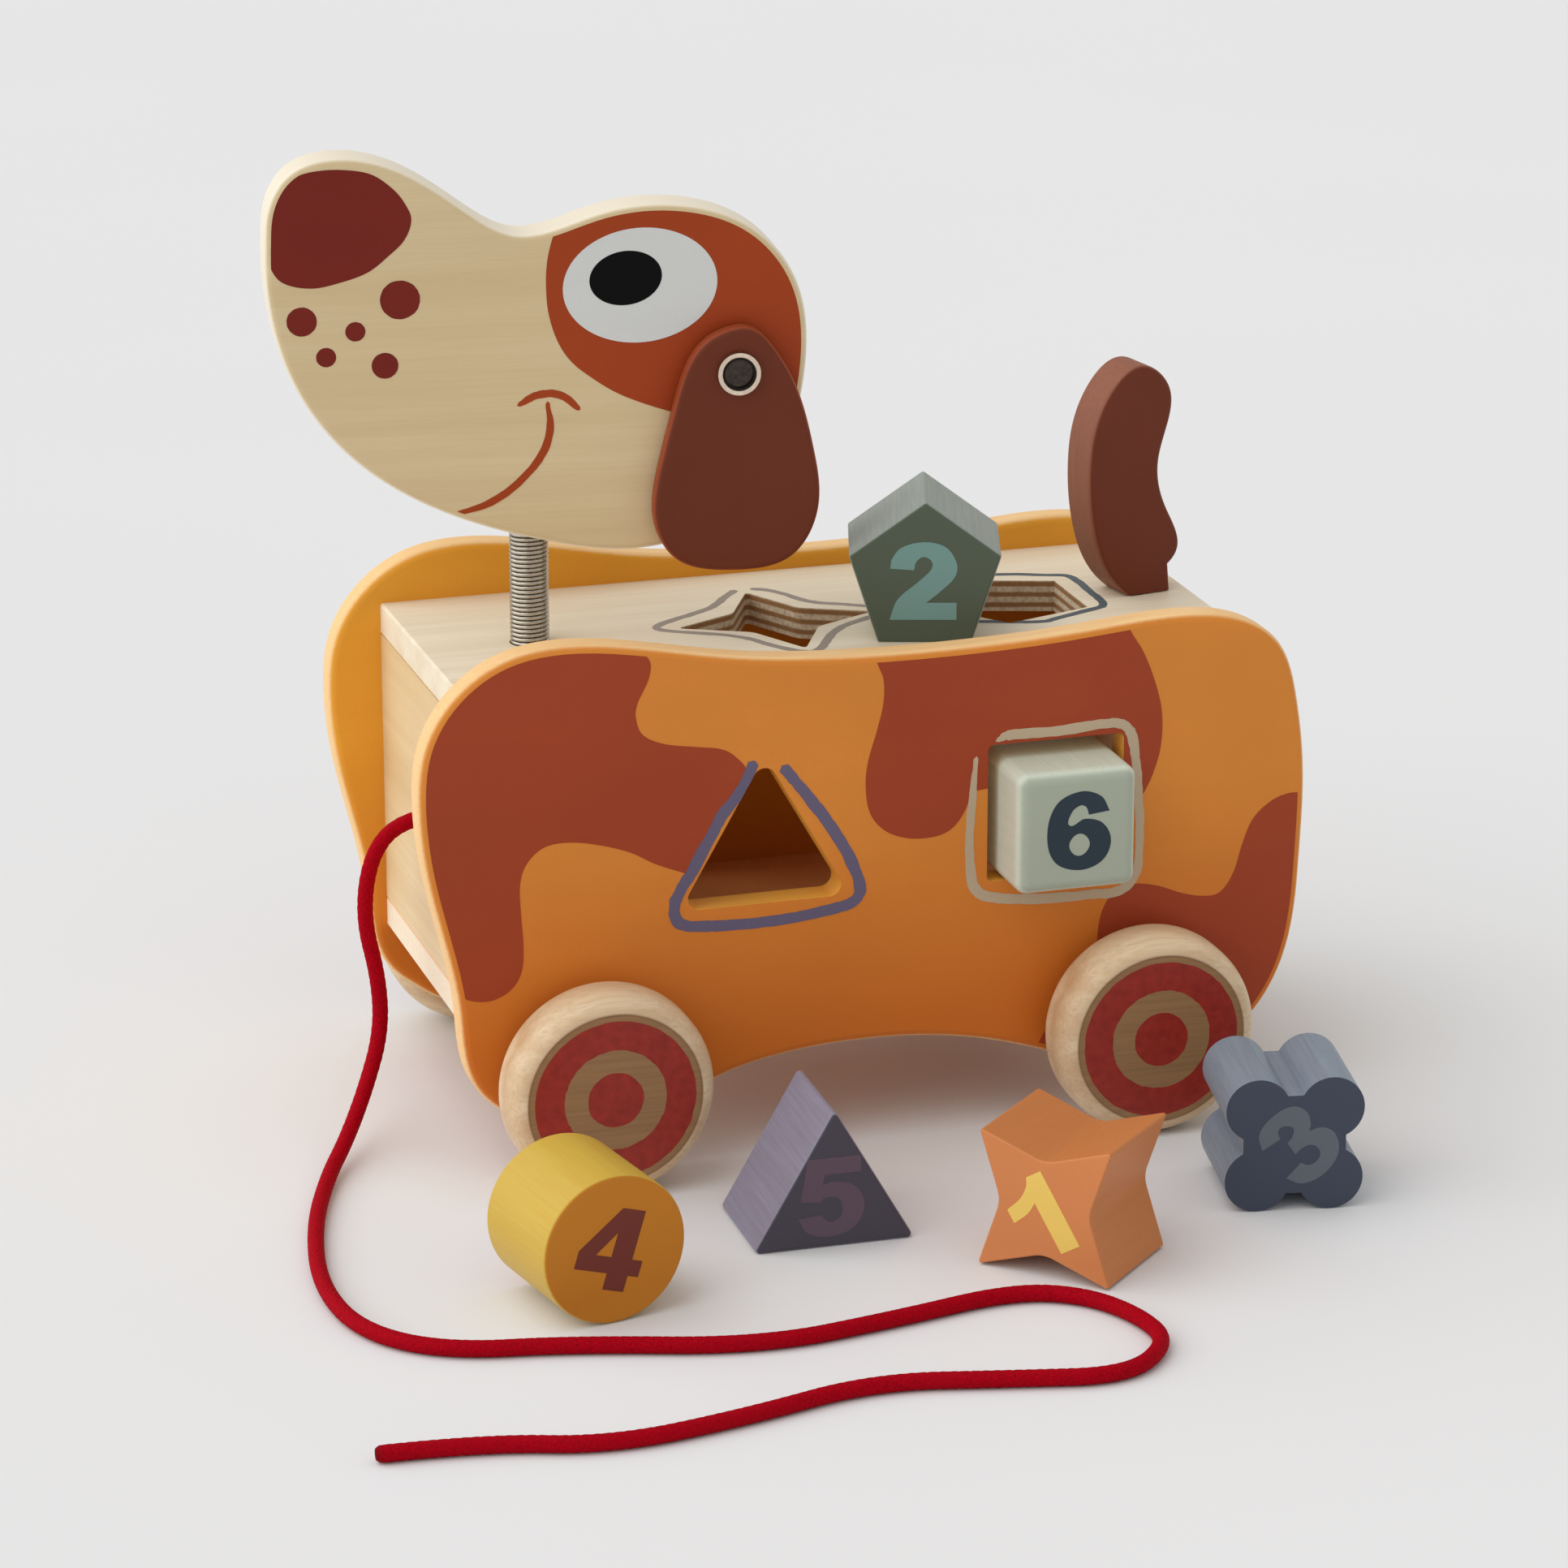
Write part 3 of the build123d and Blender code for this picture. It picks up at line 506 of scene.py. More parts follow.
def make_cord():
    line, length = spline_points(CORD_ROUTE)
    cord = tube("pull_cord_braid", line, braid_radius, RING_POINTS)
    s = Shader("red_braid", roughness=0.72, specular=0.05)
    strands = s.noise(s.placed(scale=(2200, 2200, 2200)), 1.0, 2.0)
    patches = s.noise(s.placed(scale=(60, 60, 60)), 1.0, 2.0)
    red = s.mix(s.range(strands, 0.3, 0.75), linear(182, 0, 25), linear(132, 0, 15))
    red = s.mix(s.range(patches, 0.35, 0.7, 0.0, 0.4), red, linear(163, 4, 21))
    tip = s.node("ShaderNodeVectorMath", operation="DISTANCE")
    s.link(s.where.outputs["Object"], tip.inputs[0])
    tip.inputs[1].default_value = tuple(line[-1])
    sealed = s.range(tip.outputs["Value"], *SEAL_DARK)
    s.colour(s.mix(sealed, red, linear(110, 4, 14)))
    s.bump(strands, 0.25, 0.0002)
    cord.data.materials.append(s.material)
    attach(cord, "body")
    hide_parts("pull_cord")
    return s.material


# ---- floor and light ----------------------------------------------------------------
FLOOR_HALF = 12.0         # m
FLOOR_DROP = 0.1 * MM     # keeps the floor clear of what stands on it
FLOOR_GREY = (0.803, 0.811, 0.822, 1)
FLOOR_PALE = (0.818, 0.823, 0.830, 1)
SKY_COLOUR = (1.0, 0.985, 0.97, 1)
SKY_STRENGTH = 0.60
SOFTBOX = ((1.0, -0.12, -0.92), 1.83, 90)   # direction, strength and width in degrees


def make_stage():
    mesh = bpy.data.meshes.new("floor")
    corners = [(x * FLOOR_HALF, y * FLOOR_HALF, 0) for x, y in ((-1, -1), (1, -1), (1, 1), (-1, 1))]
    mesh.from_pydata(corners, [], [(0, 1, 2, 3)])
    floor = link("floor", mesh)
    floor.location.z = -FLOOR_DROP
    s = Shader("floor_paper", roughness=0.75, specular=0.2)
    cloud = s.noise(s.placed(scale=(3, 3, 3)), 1.0, 2.0)
    s.colour(s.mix(s.range(cloud, 0.3, 0.7), FLOOR_GREY, FLOOR_PALE))
    mesh.materials.append(s.material)


def soft_sun(name, towards, strength, softness):
    """A broad far-off light, such as a large softbox, that shines along a direction."""
    data = bpy.data.lights.new(name, "SUN")
    data.energy = strength
    data.angle = math.radians(softness)
    light = bpy.data.objects.new(name, data)
    bpy.context.scene.collection.objects.link(light)
    light.rotation_euler = Vector(towards).to_track_quat("-Z", "Y").to_euler()


def make_light():
    world = bpy.data.worlds.new("studio")
    world.use_nodes = True
    background = world.node_tree.nodes["Background"]
    background.inputs["Color"].default_value = SKY_COLOUR
    background.inputs["Strength"].default_value = SKY_STRENGTH
    bpy.context.scene.world = world
    soft_sun("softbox_left", *SOFTBOX)
    settings = bpy.context.scene.view_settings
    settings.view_transform = "Standard"
    settings.look = "None"


# ---- thin layers of paint ---------------------------------------------------------------
SHARP = True              # third value of an outline point that stays a corner
PAINT_LOW = -0.05         # mm, how far a layer of paint reaches into the wood
PAINT_HIGH = 0.06         # and how far it stands proud
FLAT_WITHIN = 0.01        # mm, how near to a face's plane a vertex of that face lies
SAME_POINT = 1e-4         # mm
MASK_HALF = 1.0           # mm, half a mask's thickness


def smooth(points, closed=True, steps=8):
    """A smooth line through points; one with a third value is a corner."""
    count = len(points)
    flat = [Vector(p[:2]) for p in points]
    corner = [len(p) > 2 for p in points]

    def tangent(k, a, b):
        """Direction at point k for the stretch between points a and b, and its reach."""
        span = (flat[b] - flat[a]).length
        if corner[k] or (not closed and k in (0, count - 1)):
            return flat[b] - flat[a]
        before, after = flat[(k - 1) % count], flat[(k + 1) % count]
        across = after - before
        return across.normalized() * span if across.length > 0 else flat[b] - flat[a]

    line = []
    for a in range(count if closed else count - 1):
        b = (a + 1) % count
        out_of, into = tangent(a, a, b), tangent(b, a, b)
        parts = 1 if corner[a] and corner[b] else steps
        for step in range(parts):
            t = step / parts
            line.append(
                flat[a] * (2 * t ** 3 - 3 * t ** 2 + 1) + out_of * (t ** 3 - 2 * t ** 2 + t)
                + flat[b] * (3 * t ** 2 - 2 * t ** 3) + into * (t ** 3 - t ** 2)
            )
    if not closed:
        line.append(flat[-1])
    return line


def plate(name, loops, low=PAINT_LOW, high=PAINT_HIGH):
    """A closed flat solid in millimetres: the first loop is its outline and the rest are holes."""
    loops3 = [[Vector((p.x, p.y, 0)) for p in loop] for loop in loops]
    flat = [p for loop in loops for p in loop]
    count = len(flat)
    points = [(p.x, p.y, low) for p in flat] + [(p.x, p.y, high) for p in flat]
    faces = []
    for a, b, c in tessellate_polygon(loops3):
        faces.append((a, b, c))
        faces.append((c + count, b + count, a + count))
    first = 0
    for loop in loops:
        for k in range(len(loop)):
            a, b = first + k, first + (k + 1) % len(loop)
            faces.append((a, b, b + count, a + count))
        first += len(loop)
    mesh = bpy.data.meshes.new(name)
    mesh.from_pydata(points, [], faces)
    tidy_normals(mesh)
    return link(name, mesh)


def tidy_normals(mesh):
    made = bmesh.new()
    made.from_mesh(mesh)
    bmesh.ops.recalc_face_normals(made, faces=made.faces)
    made.to_mesh(mesh)
    made.free()


def upright(x, y, turn, out, mirrored=False):
    """Takes (along, height, proud) in millimetres on an upright face through (x, y) to metres.
    The face looks towards -Y before its turn, and out is its distance from (x, y). A mirrored
    one is the opposite face, with the same picture seen from behind."""
    a = math.radians(turn)
    way = -1 if mirrored else 1
    along = Vector((math.cos(a), math.sin(a), 0))
    proud = Vector((math.sin(a), -math.cos(a), 0)) * way
    origin = Vector((x, y, 0)) + proud * out
    rows = [[along[k], (0, 0, 1)[k], proud[k], origin[k]] for k in range(3)]
    return Matrix.Scale(MM, 4) @ Matrix((*rows, (0, 0, 0, 1)))


DECK = Matrix.Scale(MM, 4) @ Matrix.Translation((0, 0, DECK_Z))


def settle(piece, place, body, material):
    """Puts a piece made in millimetres in its place for good."""
    piece.data.transform(place)
    tidy_normals(piece.data)
    piece.data.materials.clear()
    piece.data.materials.append(material)
    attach(piece, body)
    return piece


def face_mask(node, place):
    """A slab over a CAD node's own flat face, with that face's holes, in millimetres."""
    back = place.inverted()
    made = bmesh.new()
    made.from_mesh(NODES[node].data)
    made.transform(back)
    bmesh.ops.remove_doubles(made, verts=made.verts, dist=SAME_POINT)
    away = [f for f in made.faces if max(abs(v.co.z) for v in f.verts) > FLAT_WITHIN]
    bmesh.ops.delete(made, geom=away, context="FACES")
    bmesh.ops.dissolve_limit(made, angle_limit=0.001, verts=made.verts, edges=made.edges)
    bmesh.ops.triangulate(made, faces=made.faces)
    for v in made.verts:
        v.co.z = -MASK_HALF
    raised = bmesh.ops.extrude_face_region(made, geom=made.faces[:])
    upper = [v for v in raised["geom"] if isinstance(v, bmesh.types.BMVert)]
    bmesh.ops.translate(made, vec=(0, 0, 2 * MASK_HALF), verts=upper)
    bmesh.ops.recalc_face_normals(made, faces=made.faces)
    mesh = bpy.data.meshes.new("mask")
    made.to_mesh(mesh)
    made.free()
    return link("mask", mesh)


def clip(piece, mask, operation="INTERSECT"):
    cut = piece.modifiers.new("clip", "BOOLEAN")
    cut.operation = operation
    cut.solver = "EXACT"
    cut.object = mask
    done = bpy.data.meshes.new_from_object(piece.evaluated_get(bpy.context.evaluated_depsgraph_get()))
    piece.modifiers.clear()
    piece.data = done
    return piece


def brush(points, width, closed=False, rough=0.12, seed=1, widths=None, steps=8):
    """The outline loops of a painted line through points: one loop, or two when it is closed."""
    random.seed(seed)
    line = smooth(points, closed, steps)
    count = len(line)
    left, right = [], []
    drift_a, drift_b = 0.0, 0.0
    for k, p in enumerate(line):
        before = line[(k - 1) % count] if closed or k else p
        after = line[(k + 1) % count] if closed or k < count - 1 else p
        along = (after - before).normalized()
        side = Vector((-along.y, along.x))
        drift_a = 0.6 * drift_a + random.uniform(-rough, rough)
        drift_b = 0.6 * drift_b + random.uniform(-rough, rough)
        share = k / (count - 1)
        wide = width if widths is None else width * float(np.interp(share, *zip(*widths)))
        left.append(p + side * (wide / 2 + drift_a))
        right.append(p - side * (wide / 2 + drift_b))
    if closed:
        return [left, right]
    end = line[-1] + (line[-1] - line[-2]).normalized() * width * 0.3
    start = line[0] + (line[0] - line[1]).normalized() * width * 0.3
    return [left + [end] + right[::-1] + [start]]


# ---- pictures on the side panels --------------------------------------------------------
FRONT_PATCH = [
    (-57.5, 142, SHARP), (-57.4, 131), (-55.4, 127.3), (-56, 123.1), (-58.7, 117.5), (-59.1, 114.1),
    (-57.5, 109.8), (-52.3, 107), (-43.9, 105.4), (-37.2, 104), (-33, 100.6), (-31, 97.5, SHARP),
    (-35.2, 90.8), (-39.9, 84.3), (-46.3, 73.6, SHARP), (-54.3, 76.9), (-60.9, 80.6), (-68.5, 83.2),
    (-76.1, 84.6), (-82.1, 83.9), (-86.4, 80.1), (-88, 75.2), (-87.9, 68.2), (-87.4, 59.5),
    (-87.9, 53.4), (-90.2, 49.3), (-94.4, 46.9), (-98.6, 46.7), (-102.4, 48.2), (-104.5, 51.5),
    (-125, 53, SHARP), (-125, 142, SHARP),
]
MIDDLE_PATCH = [
    (0.5, 142, SHARP), (0.9, 123), (2.6, 118), (2.6, 112.1), (1, 105.3), (-1.2, 97.7), (-1.8, 91.8),
    (-0.7, 84.7), (2.8, 80), (8.2, 77.4), (14.3, 76.8), (19.4, 78), (22.9, 81.6), (25.4, 87.5, SHARP),
    (30, 88, SHARP), (66.5, 83, SHARP), (69.8, 82.7, SHARP), (72, 87.2), (74, 94.2), (74.2, 102.9),
    (72.3, 110.9), (69, 119.1), (65.3, 125.4), (60, 142, SHARP),
]
REAR_PATCH = [
    (125, 79, SHARP), (112.2, 79), (107.7, 79), (103.2, 77.3), (98.8, 73.3), (96.2, 67.2), (93.8, 59.4),
    (90.3, 54.9), (85.8, 54.5), (80.2, 55.9), (73.9, 58.4), (67.7, 59.5), (63.1, 58.5), (60.2, 54.8),
    (58.8, 50.5), (57.5, 41), (52, 32), (46, 25), (42.3, 17), (41, 2, SHARP), (125, 2, SHARP),
]
TRIANGLE_LINE = [
    (-30, 99.9), (-33, 93.8), (-37.7, 87.9), (-42, 80.4), (-46, 73.4), (-49.5, 67.6), (-49.8, 63.5),
    (-48, 60.9), (-39.6, 59.8), (-23.2, 59.6), (-8.8, 61.2), (-4.2, 62.8), (-3.1, 66), (-5.4, 73),
    (-11.4, 83.3), (-17.9, 92.4), (-22.4, 98.1),
]
SQUARE_LINE = [
    (31.9, 100), (34.4, 101), (46.9, 100.8), (59.5, 101.6), (63.9, 101), (66.3, 98.5), (67.5, 92),
    (68.6, 81.3), (69, 69.7), (68, 62), (64.5, 58.4), (56.1, 58), (39.1, 58.6), (29, 60.4), (25.8, 63.8),
    (24.8, 74.1), (25.3, 84.5), (26.4, 95.7),
]
LINE_WIDTH = 2.8
LINE_HIGH = 0.12          # mm, a line over a patch stands proud of it
SQUARE_LINE_WIDTH = 2.5
SQUARE_WIDTHS = ((0.0, 0.55), (0.06, 1.0), (0.3, 1.0), (0.5, 0.9), (0.8, 1.1), (0.93, 0.8), (1.0, 0.5))


def ring_points(x, z, radius, count=14, wave=0.0, petals=4):
    """Points on a circle, or on a soft flower whose petals stand on the diagonals."""
    points = []
    for k in range(count):
        a = 2 * math.pi * k / count
        r = radius * (1 - wave * math.cos(petals * a))
        points.append((x + r * math.cos(a), z + r * math.sin(a)))
    return points


ROUND_LINE = ring_points(-27.2, 81.4, 22.6)
FLOWER_LINE = ring_points(48.2, 81.4, 23.4, 32, 0.11)


def paint_panels(brown, inks):
    for side, mirrored in (("left", False), ("right", True)):
        node = f"{side}_side_panel"
        place = upright(0, 0, 0, PANEL_FACE, mirrored)
        mask = face_mask(node, place)
        for name, outline in (("front", FRONT_PATCH), ("middle", MIDDLE_PATCH), ("rear", REAR_PATCH)):
            piece = clip(plate(f"{side}_{name}_patch", [smooth(outline)]), mask)
            settle(piece, place, "body", brown)
        if mirrored:
            lines = (
                ("round_hole_line", brush(ROUND_LINE, LINE_WIDTH, True, 0.1, 5), "ochre"),
                ("flower_hole_line", brush(FLOWER_LINE, LINE_WIDTH, True, 0.1, 6), "slate"),
            )
        else:
            lines = (
                ("triangle_hole_line", brush(TRIANGLE_LINE, LINE_WIDTH, False, 0.13, 3), "purple"),
                ("square_hole_line",
                 brush(SQUARE_LINE, SQUARE_LINE_WIDTH, False, 0.13, 4, SQUARE_WIDTHS), "beige"),
            )
        for name, loops, ink in lines:
            piece = clip(plate(name, loops, 0.0, LINE_HIGH), mask)
            settle(piece, place, "body", inks[ink])
        bpy.data.objects.remove(mask)


# ---- picture on the head ----------------------------------------------------------------
HEAD_FACE = upright(NECK_X, 0, HEAD_TURN, HEAD_HALF)
HEAD_FAR_FACE = upright(NECK_X, 0, HEAD_TURN, HEAD_HALF, True)
NOSE_SHAPE = [
    (-61.9, 224.2), (-61.2, 230), (-58.7, 234.8), (-54.8, 238), (-49.1, 239.3), (-42.4, 239.2),
    (-36.7, 237.9), (-31.9, 234.4), (-29.1, 230.8), (-27.6, 226.8), (-29.3, 222), (-33.2, 218.2),
    (-38.1, 214.5), (-44.9, 212.2), (-51.7, 211.1), (-58.4, 212.7), (-61.2, 216.4), (-62, 221.3),
]
# along the head, height and radius of each freckle
FRECKLES = (
    (-54.2, 203.1, 3.6), (-48.6, 194.2, 2.4), (-41.5, 200.2, 2.4), (-30.7, 207.5, 4.8), (-34.6, 191.6, 3.2),
)
EYE_PATCH = [
    (8.2, 245, SHARP), (7.8, 225), (6.2, 221.6), (4.7, 215.7), (4.3, 209.8), (4.8, 202.8), (6.9, 195.8),
    (10.1, 190.7), (15, 186.5), (20.9, 182.6), (27.8, 179.5), (36, 176.8), (48, 174.5), (62, 173.5),
    (85, 172, SHARP), (85, 245, SHARP),
]
# middle and half sizes
EYE = (27.0, 208.7, 18.7, 14.0)
PUPIL = (23.5, 210.6, 8.8, 6.6)
MOUTH_CORNER = [(-2.6, 180.6), (1.8, 182.7), (7.3, 182.6), (11.8, 179)]
SMILE = [(4.3, 180.6), (4.8, 174.3), (2.6, 167.7), (-3, 161.3), (-9.6, 156.8), (-18.9, 154)]
TAPERED = ((0.0, 0.55), (0.2, 1.0), (0.8, 1.0), (1.0, 0.6))
# how far each layer reaches in and stands proud, in mm
EYE_LAYER = (0.0, 0.10)
PUPIL_LAYER = (0.04, 0.14)
SMILE_LAYER = (0.0, 0.1)


def ellipse(x, z, half_x, half_z, count=64, tilt=0.0, rough=0.0):
    points = []
    for k in range(count):
        a = 2 * math.pi * k / count
        r = 1 + random.uniform(-rough, rough)
        u, v = half_x * r * math.cos(a), half_z * r * math.sin(a)
        across, up = u * math.cos(tilt) - v * math.sin(tilt), u * math.sin(tilt) + v * math.cos(tilt)
        points.append(Vector((x + across, z + up)))
    return points


def paint_head(mats):
    for side, place in (("left", HEAD_FACE), ("right", HEAD_FAR_FACE)):
        random.seed(11)
        mask = face_mask("head", place)

        def stick(name, loops, material, low=PAINT_LOW, high=PAINT_HIGH):
            piece = clip(plate(f"{side}_{name}", loops, low, high), mask)
            settle(piece, place, "head", mats[material])

        stick("nose", [smooth(NOSE_SHAPE)], "nose")
        for k, (x, z, r) in enumerate(FRECKLES):
            stick(f"freckle_{k + 1}", [ellipse(x, z, r, r * 0.98, 40, 0.0, 0.012)], "nose")
        stick("eye_patch", [smooth(EYE_PATCH)], "rust")
        stick("eye_white", [ellipse(*EYE, 72, 0.06)], "white", *EYE_LAYER)
        stick("pupil", [ellipse(*PUPIL, 56, 0.12)], "black", *PUPIL_LAYER)
        stick("mouth_corner", brush(MOUTH_CORNER, 1.9, rough=0.07, seed=21, widths=TAPERED), "rust")
        stick("smile", brush(SMILE, 1.8, rough=0.07, seed=22, widths=TAPERED), "rust", *SMILE_LAYER)
        bpy.data.objects.remove(mask)


# ---- lines on the top board -----------------------------------------------------------------
STAR_LINE = [
    (-11.2, 27.6), (-15.7, 21.9), (-20.8, 15.2), (-27.5, 10.5), (-33.6, 6.9), (-38.6, 2.6), (-38, -0.4),
    (-31.8, -4.6), (-24.4, -9), (-19.6, -14), (-16.8, -19.4), (-12.6, -25.6), (-8.6, -28.6), (-5.4, -26.4),
    (-2, -20.6), (1.6, -14.6), (6, -9.8), (12, -6), (19.8, -1.2), (20.2, 1.4), (12.4, 7.4), (6, 11),
    (2.4, 15.2), (0.2, 20.6), (-3, 25.6), (-6.4, 27.8),
]
PENTAGON_LINE = [
    (57, 22), (69, 17.7), (73, 16.1), (74.3, 12), (74.1, 0), (73.8, -9), (72.4, -12.8), (69.5, -14.2),
    (58, -19.4), (54, -21), (45, -18.6), (31.6, -13), (29.4, -9), (29.4, 3), (30.2, 12), (35, 15.6),
    (50, 20.8),
]


DECK_LINE_WIDTH = 2.2
# name, points, whether it is closed, seed and ink
DECK_LINES = (
    ("star_hole_line", STAR_LINE, False, 7, "taupe"),
    ("pentagon_hole_line", PENTAGON_LINE, True, 8, "pine"),
)


def paint_deck(inks):
    mask = face_mask("top_board", DECK)
    for name, points, closed, seed, ink in DECK_LINES:
        piece = clip(plate(name, brush(points, DECK_LINE_WIDTH, closed, 0.1, seed)), mask)
        settle(piece, DECK, "body", inks[ink])
    bpy.data.objects.remove(mask)


# ---- numbers on the blocks -------------------------------------------------------------------
S = SHARP
DIGITS = {
    1: [[(0.5, 0, S), (0.5, 1, S), (0.3, 1, S), (0.24, 0.9), (0.1, 0.8), (-0.12, 0.74, S), (-0.12, 0.56, S),
         (0.1, 0.6), (0.24, 0.68, S), (0.24, 0, S)]],
    2: [[(0, 0, S), (0.68, 0, S), (0.68, 0.22, S), (0.37, 0.22, S), (0.52, 0.37), (0.665, 0.56),
         (0.675, 0.74), (0.56, 0.94), (0.345, 1), (0.12, 0.93), (0.02, 0.78), (0.005, 0.66, S),
         (0.245, 0.64, S), (0.27, 0.75), (0.345, 0.81), (0.425, 0.75), (0.42, 0.65), (0.3, 0.5), (0.08, 0.26)]],
    3: [[(0, 0.27, S), (0.23, 0.3, S), (0.27, 0.215), (0.345, 0.18), (0.44, 0.215), (0.47, 0.31), (0.43, 0.4),
         (0.335, 0.435), (0.25, 0.43, S), (0.27, 0.61, S), (0.37, 0.64), (0.425, 0.72), (0.345, 0.82),
         (0.28, 0.8), (0.245, 0.71, S), (0.02, 0.75, S), (0.12, 0.94), (0.35, 1), (0.58, 0.93), (0.65, 0.76),
         (0.6, 0.61), (0.53, 0.545, S), (0.66, 0.46), (0.71, 0.3), (0.6, 0.08), (0.35, -0.01), (0.1, 0.07)]],
    4: [[(0.38, 0, S), (0.62, 0, S), (0.62, 0.2, S), (0.74, 0.2, S), (0.74, 0.4, S), (0.62, 0.4, S),
         (0.62, 1, S), (0.36, 1, S), (0, 0.42, S), (0, 0.2, S), (0.38, 0.2, S)],
        [(0.38, 0.4, S), (0.38, 0.7, S), (0.2, 0.4, S)]],
    5: [[(0.1, 1, S), (0.66, 1, S), (0.66, 0.79, S), (0.28, 0.79, S), (0.255, 0.665, S), (0.38, 0.69),
         (0.6, 0.61), (0.7, 0.35), (0.59, 0.08), (0.34, -0.01), (0.1, 0.06), (0, 0.25, S),
         (0.235, 0.28, S), (0.335, 0.18), (0.44, 0.23), (0.465, 0.34), (0.43, 0.46), (0.34, 0.5),
         (0.26, 0.48), (0.235, 0.44, S), (0.02, 0.47, S)]],
    6: [[(0.69, 0.73, S), (0.59, 0.93), (0.36, 1.01), (0.1, 0.87), (0, 0.48), (0.09, 0.12), (0.355, -0.01),
         (0.61, 0.08), (0.71, 0.33), (0.62, 0.57), (0.42, 0.65), (0.25, 0.58), (0.27, 0.75), (0.365, 0.83),
         (0.43, 0.8), (0.46, 0.7, S)],
        [(0.36, 0.175), (0.245, 0.32), (0.36, 0.465), (0.475, 0.32)]],
}
DIGIT_HEIGHT = 19.6
# number: block, middle of the number on its face, lean in degrees, width in mm
NUMBERS = {
    1: ("star_block", (-1.4, 14.6), 32, 13.0),
    2: ("pentagon_block", (-0.4, DECK_Z + 15.6), 0, 16.4),
    3: ("flower_block", (1.1, 16.8), 42, 16.0),
    4: ("cylinder_block", (-0.6, 18.3), -18, 17.0),
    5: ("triangle_block", (-0.7, 12.6), 0, 16.2),
    6: ("cube_block", (47.8, 79.9), 0, 16.4),
}


def make_number(number, material):
    block, (centre_x, centre_z), lean, width = NUMBERS[number]
    x, y, turn = BLOCKS[block]
    loops = [smooth(loop, True, 10) for loop in DIGITS[number]]
    xs = [p.x for p in loops[0]]
    wide = width / (max(xs) - min(xs))
    a = math.radians(lean)
    placed = []
    for loop in loops:
        line = []
        for p in loop:
            u = (p.x - (max(xs) + min(xs)) / 2) * wide
            v = (p.y - 0.5) * DIGIT_HEIGHT
            across, up = u * math.cos(a) - v * math.sin(a), u * math.sin(a) + v * math.cos(a)
            line.append(Vector((centre_x + across, centre_z + up)))
        placed.append(line)
    settle(plate(f"number_{number}", placed), upright(x, y, turn, 0.0), block, material)


# ---- neck spring --------------------------------------------------------------------------------
WIRE_MM = 0.5             # the wire's radius
SPRING_WIRE = WIRE_MM * MM
COIL_R = 4.33 * MM
SPRING_PITCH = 1.1 * MM
STEPS_PER_TURN = 28
WIRE_SIDES = 8
NECK = Vector((NECK_X, 0, 0)) * MM
SPRING_LOW = node_box("neck_spring")[0][2] + WIRE_MM
SPRING_HIGH = node_box("neck_spring")[1][2] - WIRE_MM
HEAD_FOOT_Z = 148.0       # where the spring goes into the head
# name, lowest and highest of the wire, body below and above, and where its blend starts and ends
SPRING_PARTS = (
    ("neck_spring_lower", SPRING_LOW, NECK_Z, "body", "neck", DECK_Z, NECK_Z),
    ("neck_spring_upper", NECK_Z, SPRING_HIGH, "neck", "head", NECK_Z, HEAD_FOOT_Z),
)


def wire_radius(run, whole, angles):
    return np.full(len(angles), SPRING_WIRE)


def make_spring(steel):
    for name, low, high, below, above, start, end in SPRING_PARTS:
        turns = (high - low) * MM / SPRING_PITCH
        steps = int(turns * STEPS_PER_TURN)
        line = []
        for k in range(steps + 1):
            z = low * MM + (high - low) * MM * k / steps
            a = 2 * math.pi * (z - NECK_Z * MM) / SPRING_PITCH
            line.append(NECK + Vector((COIL_R * math.cos(a), COIL_R * math.sin(a), z)))
        line = np.array([p[:] for p in line])
        wire = tube(name, line, wire_radius, WIRE_SIDES)
        wire.data.materials.append(steel)
        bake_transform(wire)
        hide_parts("neck_spring")


# ---- everything together ----------------------------------------------------------------------------
BEECH = linear(226, 190, 140)
BEECH_DARK = linear(196, 152, 100)
BEECH_PALE = linear(240, 214, 170)
HEAD_WOOD = linear(208, 184, 138)
HEAD_DARK = linear(193, 165, 117)
HEAD_PALE = linear(221, 201, 160)
HEAD_RIM = linear(240, 230, 208)
FRONT_WOOD = linear(222, 190, 140)
FRONT_DARK = linear(204, 168, 118)
FRONT_PALE = linear(230, 204, 158)
# painted highlight on the ears' edges, standing for rounded edges that catch the light
EAR_EDGE_HIGHLIGHT = linear(158, 74, 42)
# the tail's edges: paler end grain, and partly a painted highlight for the edge that catches the light
TAIL_EDGE_GRAIN_AND_HIGHLIGHT = linear(146, 92, 70)
# block: colour of its numbered face and of its sides; these are lit and shaded copies of one paint, painted
# light and shade for how the light falls on face and sides
BLOCK_PAINT = {
    "star_block": (linear(216, 137, 84), linear(199, 125, 71)),
    "pentagon_block": (linear(83, 94, 79), linear(156, 164, 156)),
    "flower_block": (linear(68, 75, 91), linear(138, 151, 165)),
    "cylinder_block": (linear(201, 128, 36), linear(206, 176, 74)),
    "triangle_block": (linear(78, 74, 86), linear(147, 143, 162)),
    "cube_block": (linear(177, 186, 168), linear(218, 226, 208)),
}


def finish_node(node, material):
    mesh = NODES[node]
    mesh.data.materials.clear()
    mesh.data.materials.append(material)


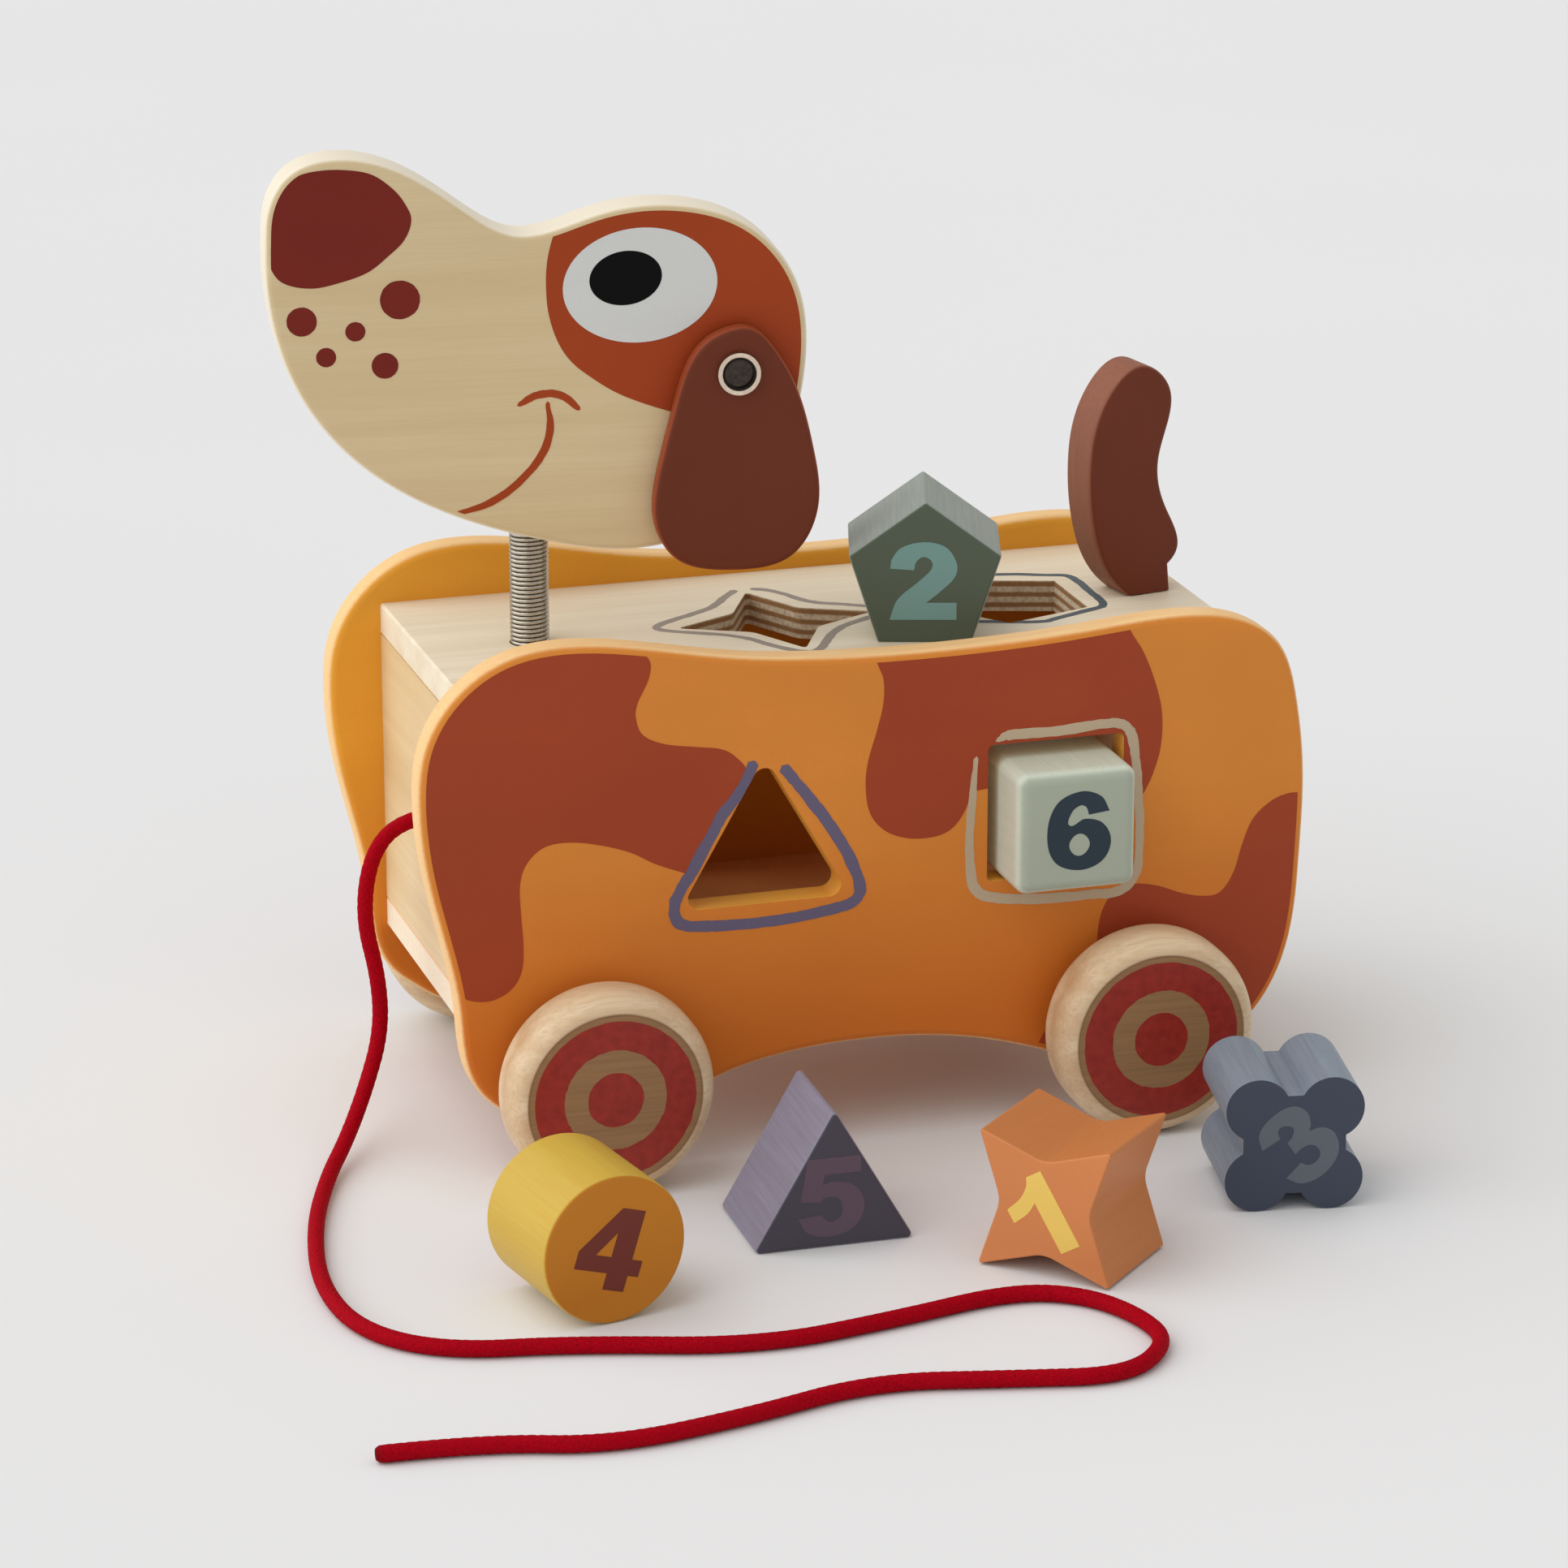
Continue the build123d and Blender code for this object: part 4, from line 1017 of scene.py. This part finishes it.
def paint_nodes(cord_red):
    steel = metal("spring_steel", linear(196, 190, 178), 0.22)
    # the right panel gets the lit copy of the orange, painted light
    for side, colour in (("left", ORANGE), ("right", FAR_ORANGE_LIT)):
        finish_node(f"{side}_side_panel", painted(f"{side}_orange_paint", colour, edge=ORANGE_EDGE_AND_HIGHLIGHT,
                                                  low=ORANGE_SHADE_LOW, hole_highlight=HOLE_WALL_HIGHLIGHT))
    finish_node("top_board", wood("top_board_ply", layers="z", ends=(DECK_HALF_X - 1) * MM))
    finish_node("bottom_board", painted("bottom_board_wash", ORANGE_WASH, edge=BIRCH_PALE, flat_axis="z"))
    finish_node("front_board", wood("front_board_wood", FRONT_WOOD, FRONT_DARK, FRONT_PALE, along="y"))
    finish_node("rear_door", wood("rear_door_ply", along="z", layers="x"))
    finish_node("door_stop", wood("stop_batten", along="y"))
    finish_node("door_pins", steel)
    for name in ("front_axle", "rear_axle"):
        finish_node(name, wood("beech_" + name, BEECH, BEECH_DARK, BEECH_PALE, along="y"))
    for end in ("front", "rear"):
        for side in ("left", "right"):
            wheel = f"{end}_{side}_wheel"
            x, _, z = middle(wheel)
            finish_node(wheel, wheel_material(wheel, (x * MM, 0, z * MM)))
    neck, turned = (NECK_X * MM, 0, 0), math.radians(HEAD_TURN)
    finish_node("head", wood("head_wood", HEAD_WOOD, HEAD_DARK, HEAD_PALE, "x", turned, neck,
                             contrast=0.45, rim=HEAD_RIM))
    # the ears' edges get a painted highlight
    brown = painted("ear_brown", BROWN, edge=EAR_EDGE_HIGHLIGHT, turn=turned, origin=neck, along="z")
    for name in ("left_ear", "right_ear"):
        finish_node(name, brown)
    for name in ("ear_rivet", "ear_rivet_cap"):
        finish_node(name, rivet_material(name))
    finish_node("tail", painted("tail_brown", BROWN, edge=TAIL_EDGE_GRAIN_AND_HIGHLIGHT, turn=math.radians(TAIL_TURN),
                                origin=(TAIL_X * MM, 0, 0), along="z"))
    finish_node("tail_screw", steel)
    finish_node("cord_knot", cord_red)
    # painted light and shade: each block's numbered face and back take one copy of its paint, and its sides and
    # top another copy, lighter on most blocks
    for block, (face, edge) in BLOCK_PAINT.items():
        x, y, turn = BLOCKS[block]
        finish_node(block, painted(block + "_paint", face, 0.42, 0.07, edge, "y", math.radians(turn),
                                   (x * MM, y * MM, 0), "y"))
    return steel


make_camera()
cord_material = make_cord()
make_stage()
make_light()
spring_steel = paint_nodes(cord_material)
make_spring(spring_steel)

INKS = {
    "purple": painted("ink_purple", linear(106, 98, 124), 0.55),
    "beige": painted("ink_beige", linear(196, 176, 148), 0.55),
    "taupe": painted("ink_taupe", linear(160, 148, 136), 0.55),
    "pine": painted("ink_pine", linear(88, 98, 104), 0.55),
    "ochre": painted("ink_ochre", linear(222, 170, 62), 0.55),
    "slate": painted("ink_slate", linear(96, 112, 140), 0.55),
}
paint_panels(painted("patch_brown", PATCH, 0.5, 0.08, along="x"), INKS)
paint_head({
    "nose": painted("nose_red", NOSE, 0.5),
    "rust": painted("rust_red", linear(162, 63, 20), 0.5),
    "white": painted("eye_white", linear(214, 216, 214), 0.45, 0.03),
    "black": painted("pupil_black", linear(6, 6, 6), 0.5, 0.03, gloss=0.1),
})
paint_deck(INKS)
NUMBER_INK = {
    1: linear(240, 204, 104), 2: linear(116, 153, 148), 3: linear(100, 106, 116),
    4: linear(116, 54, 44), 5: linear(100, 84, 98), 6: linear(47, 61, 72),
}
for number, colour in NUMBER_INK.items():
    make_number(number, painted(f"number_{number}_ink", colour, 0.45, 0.05))
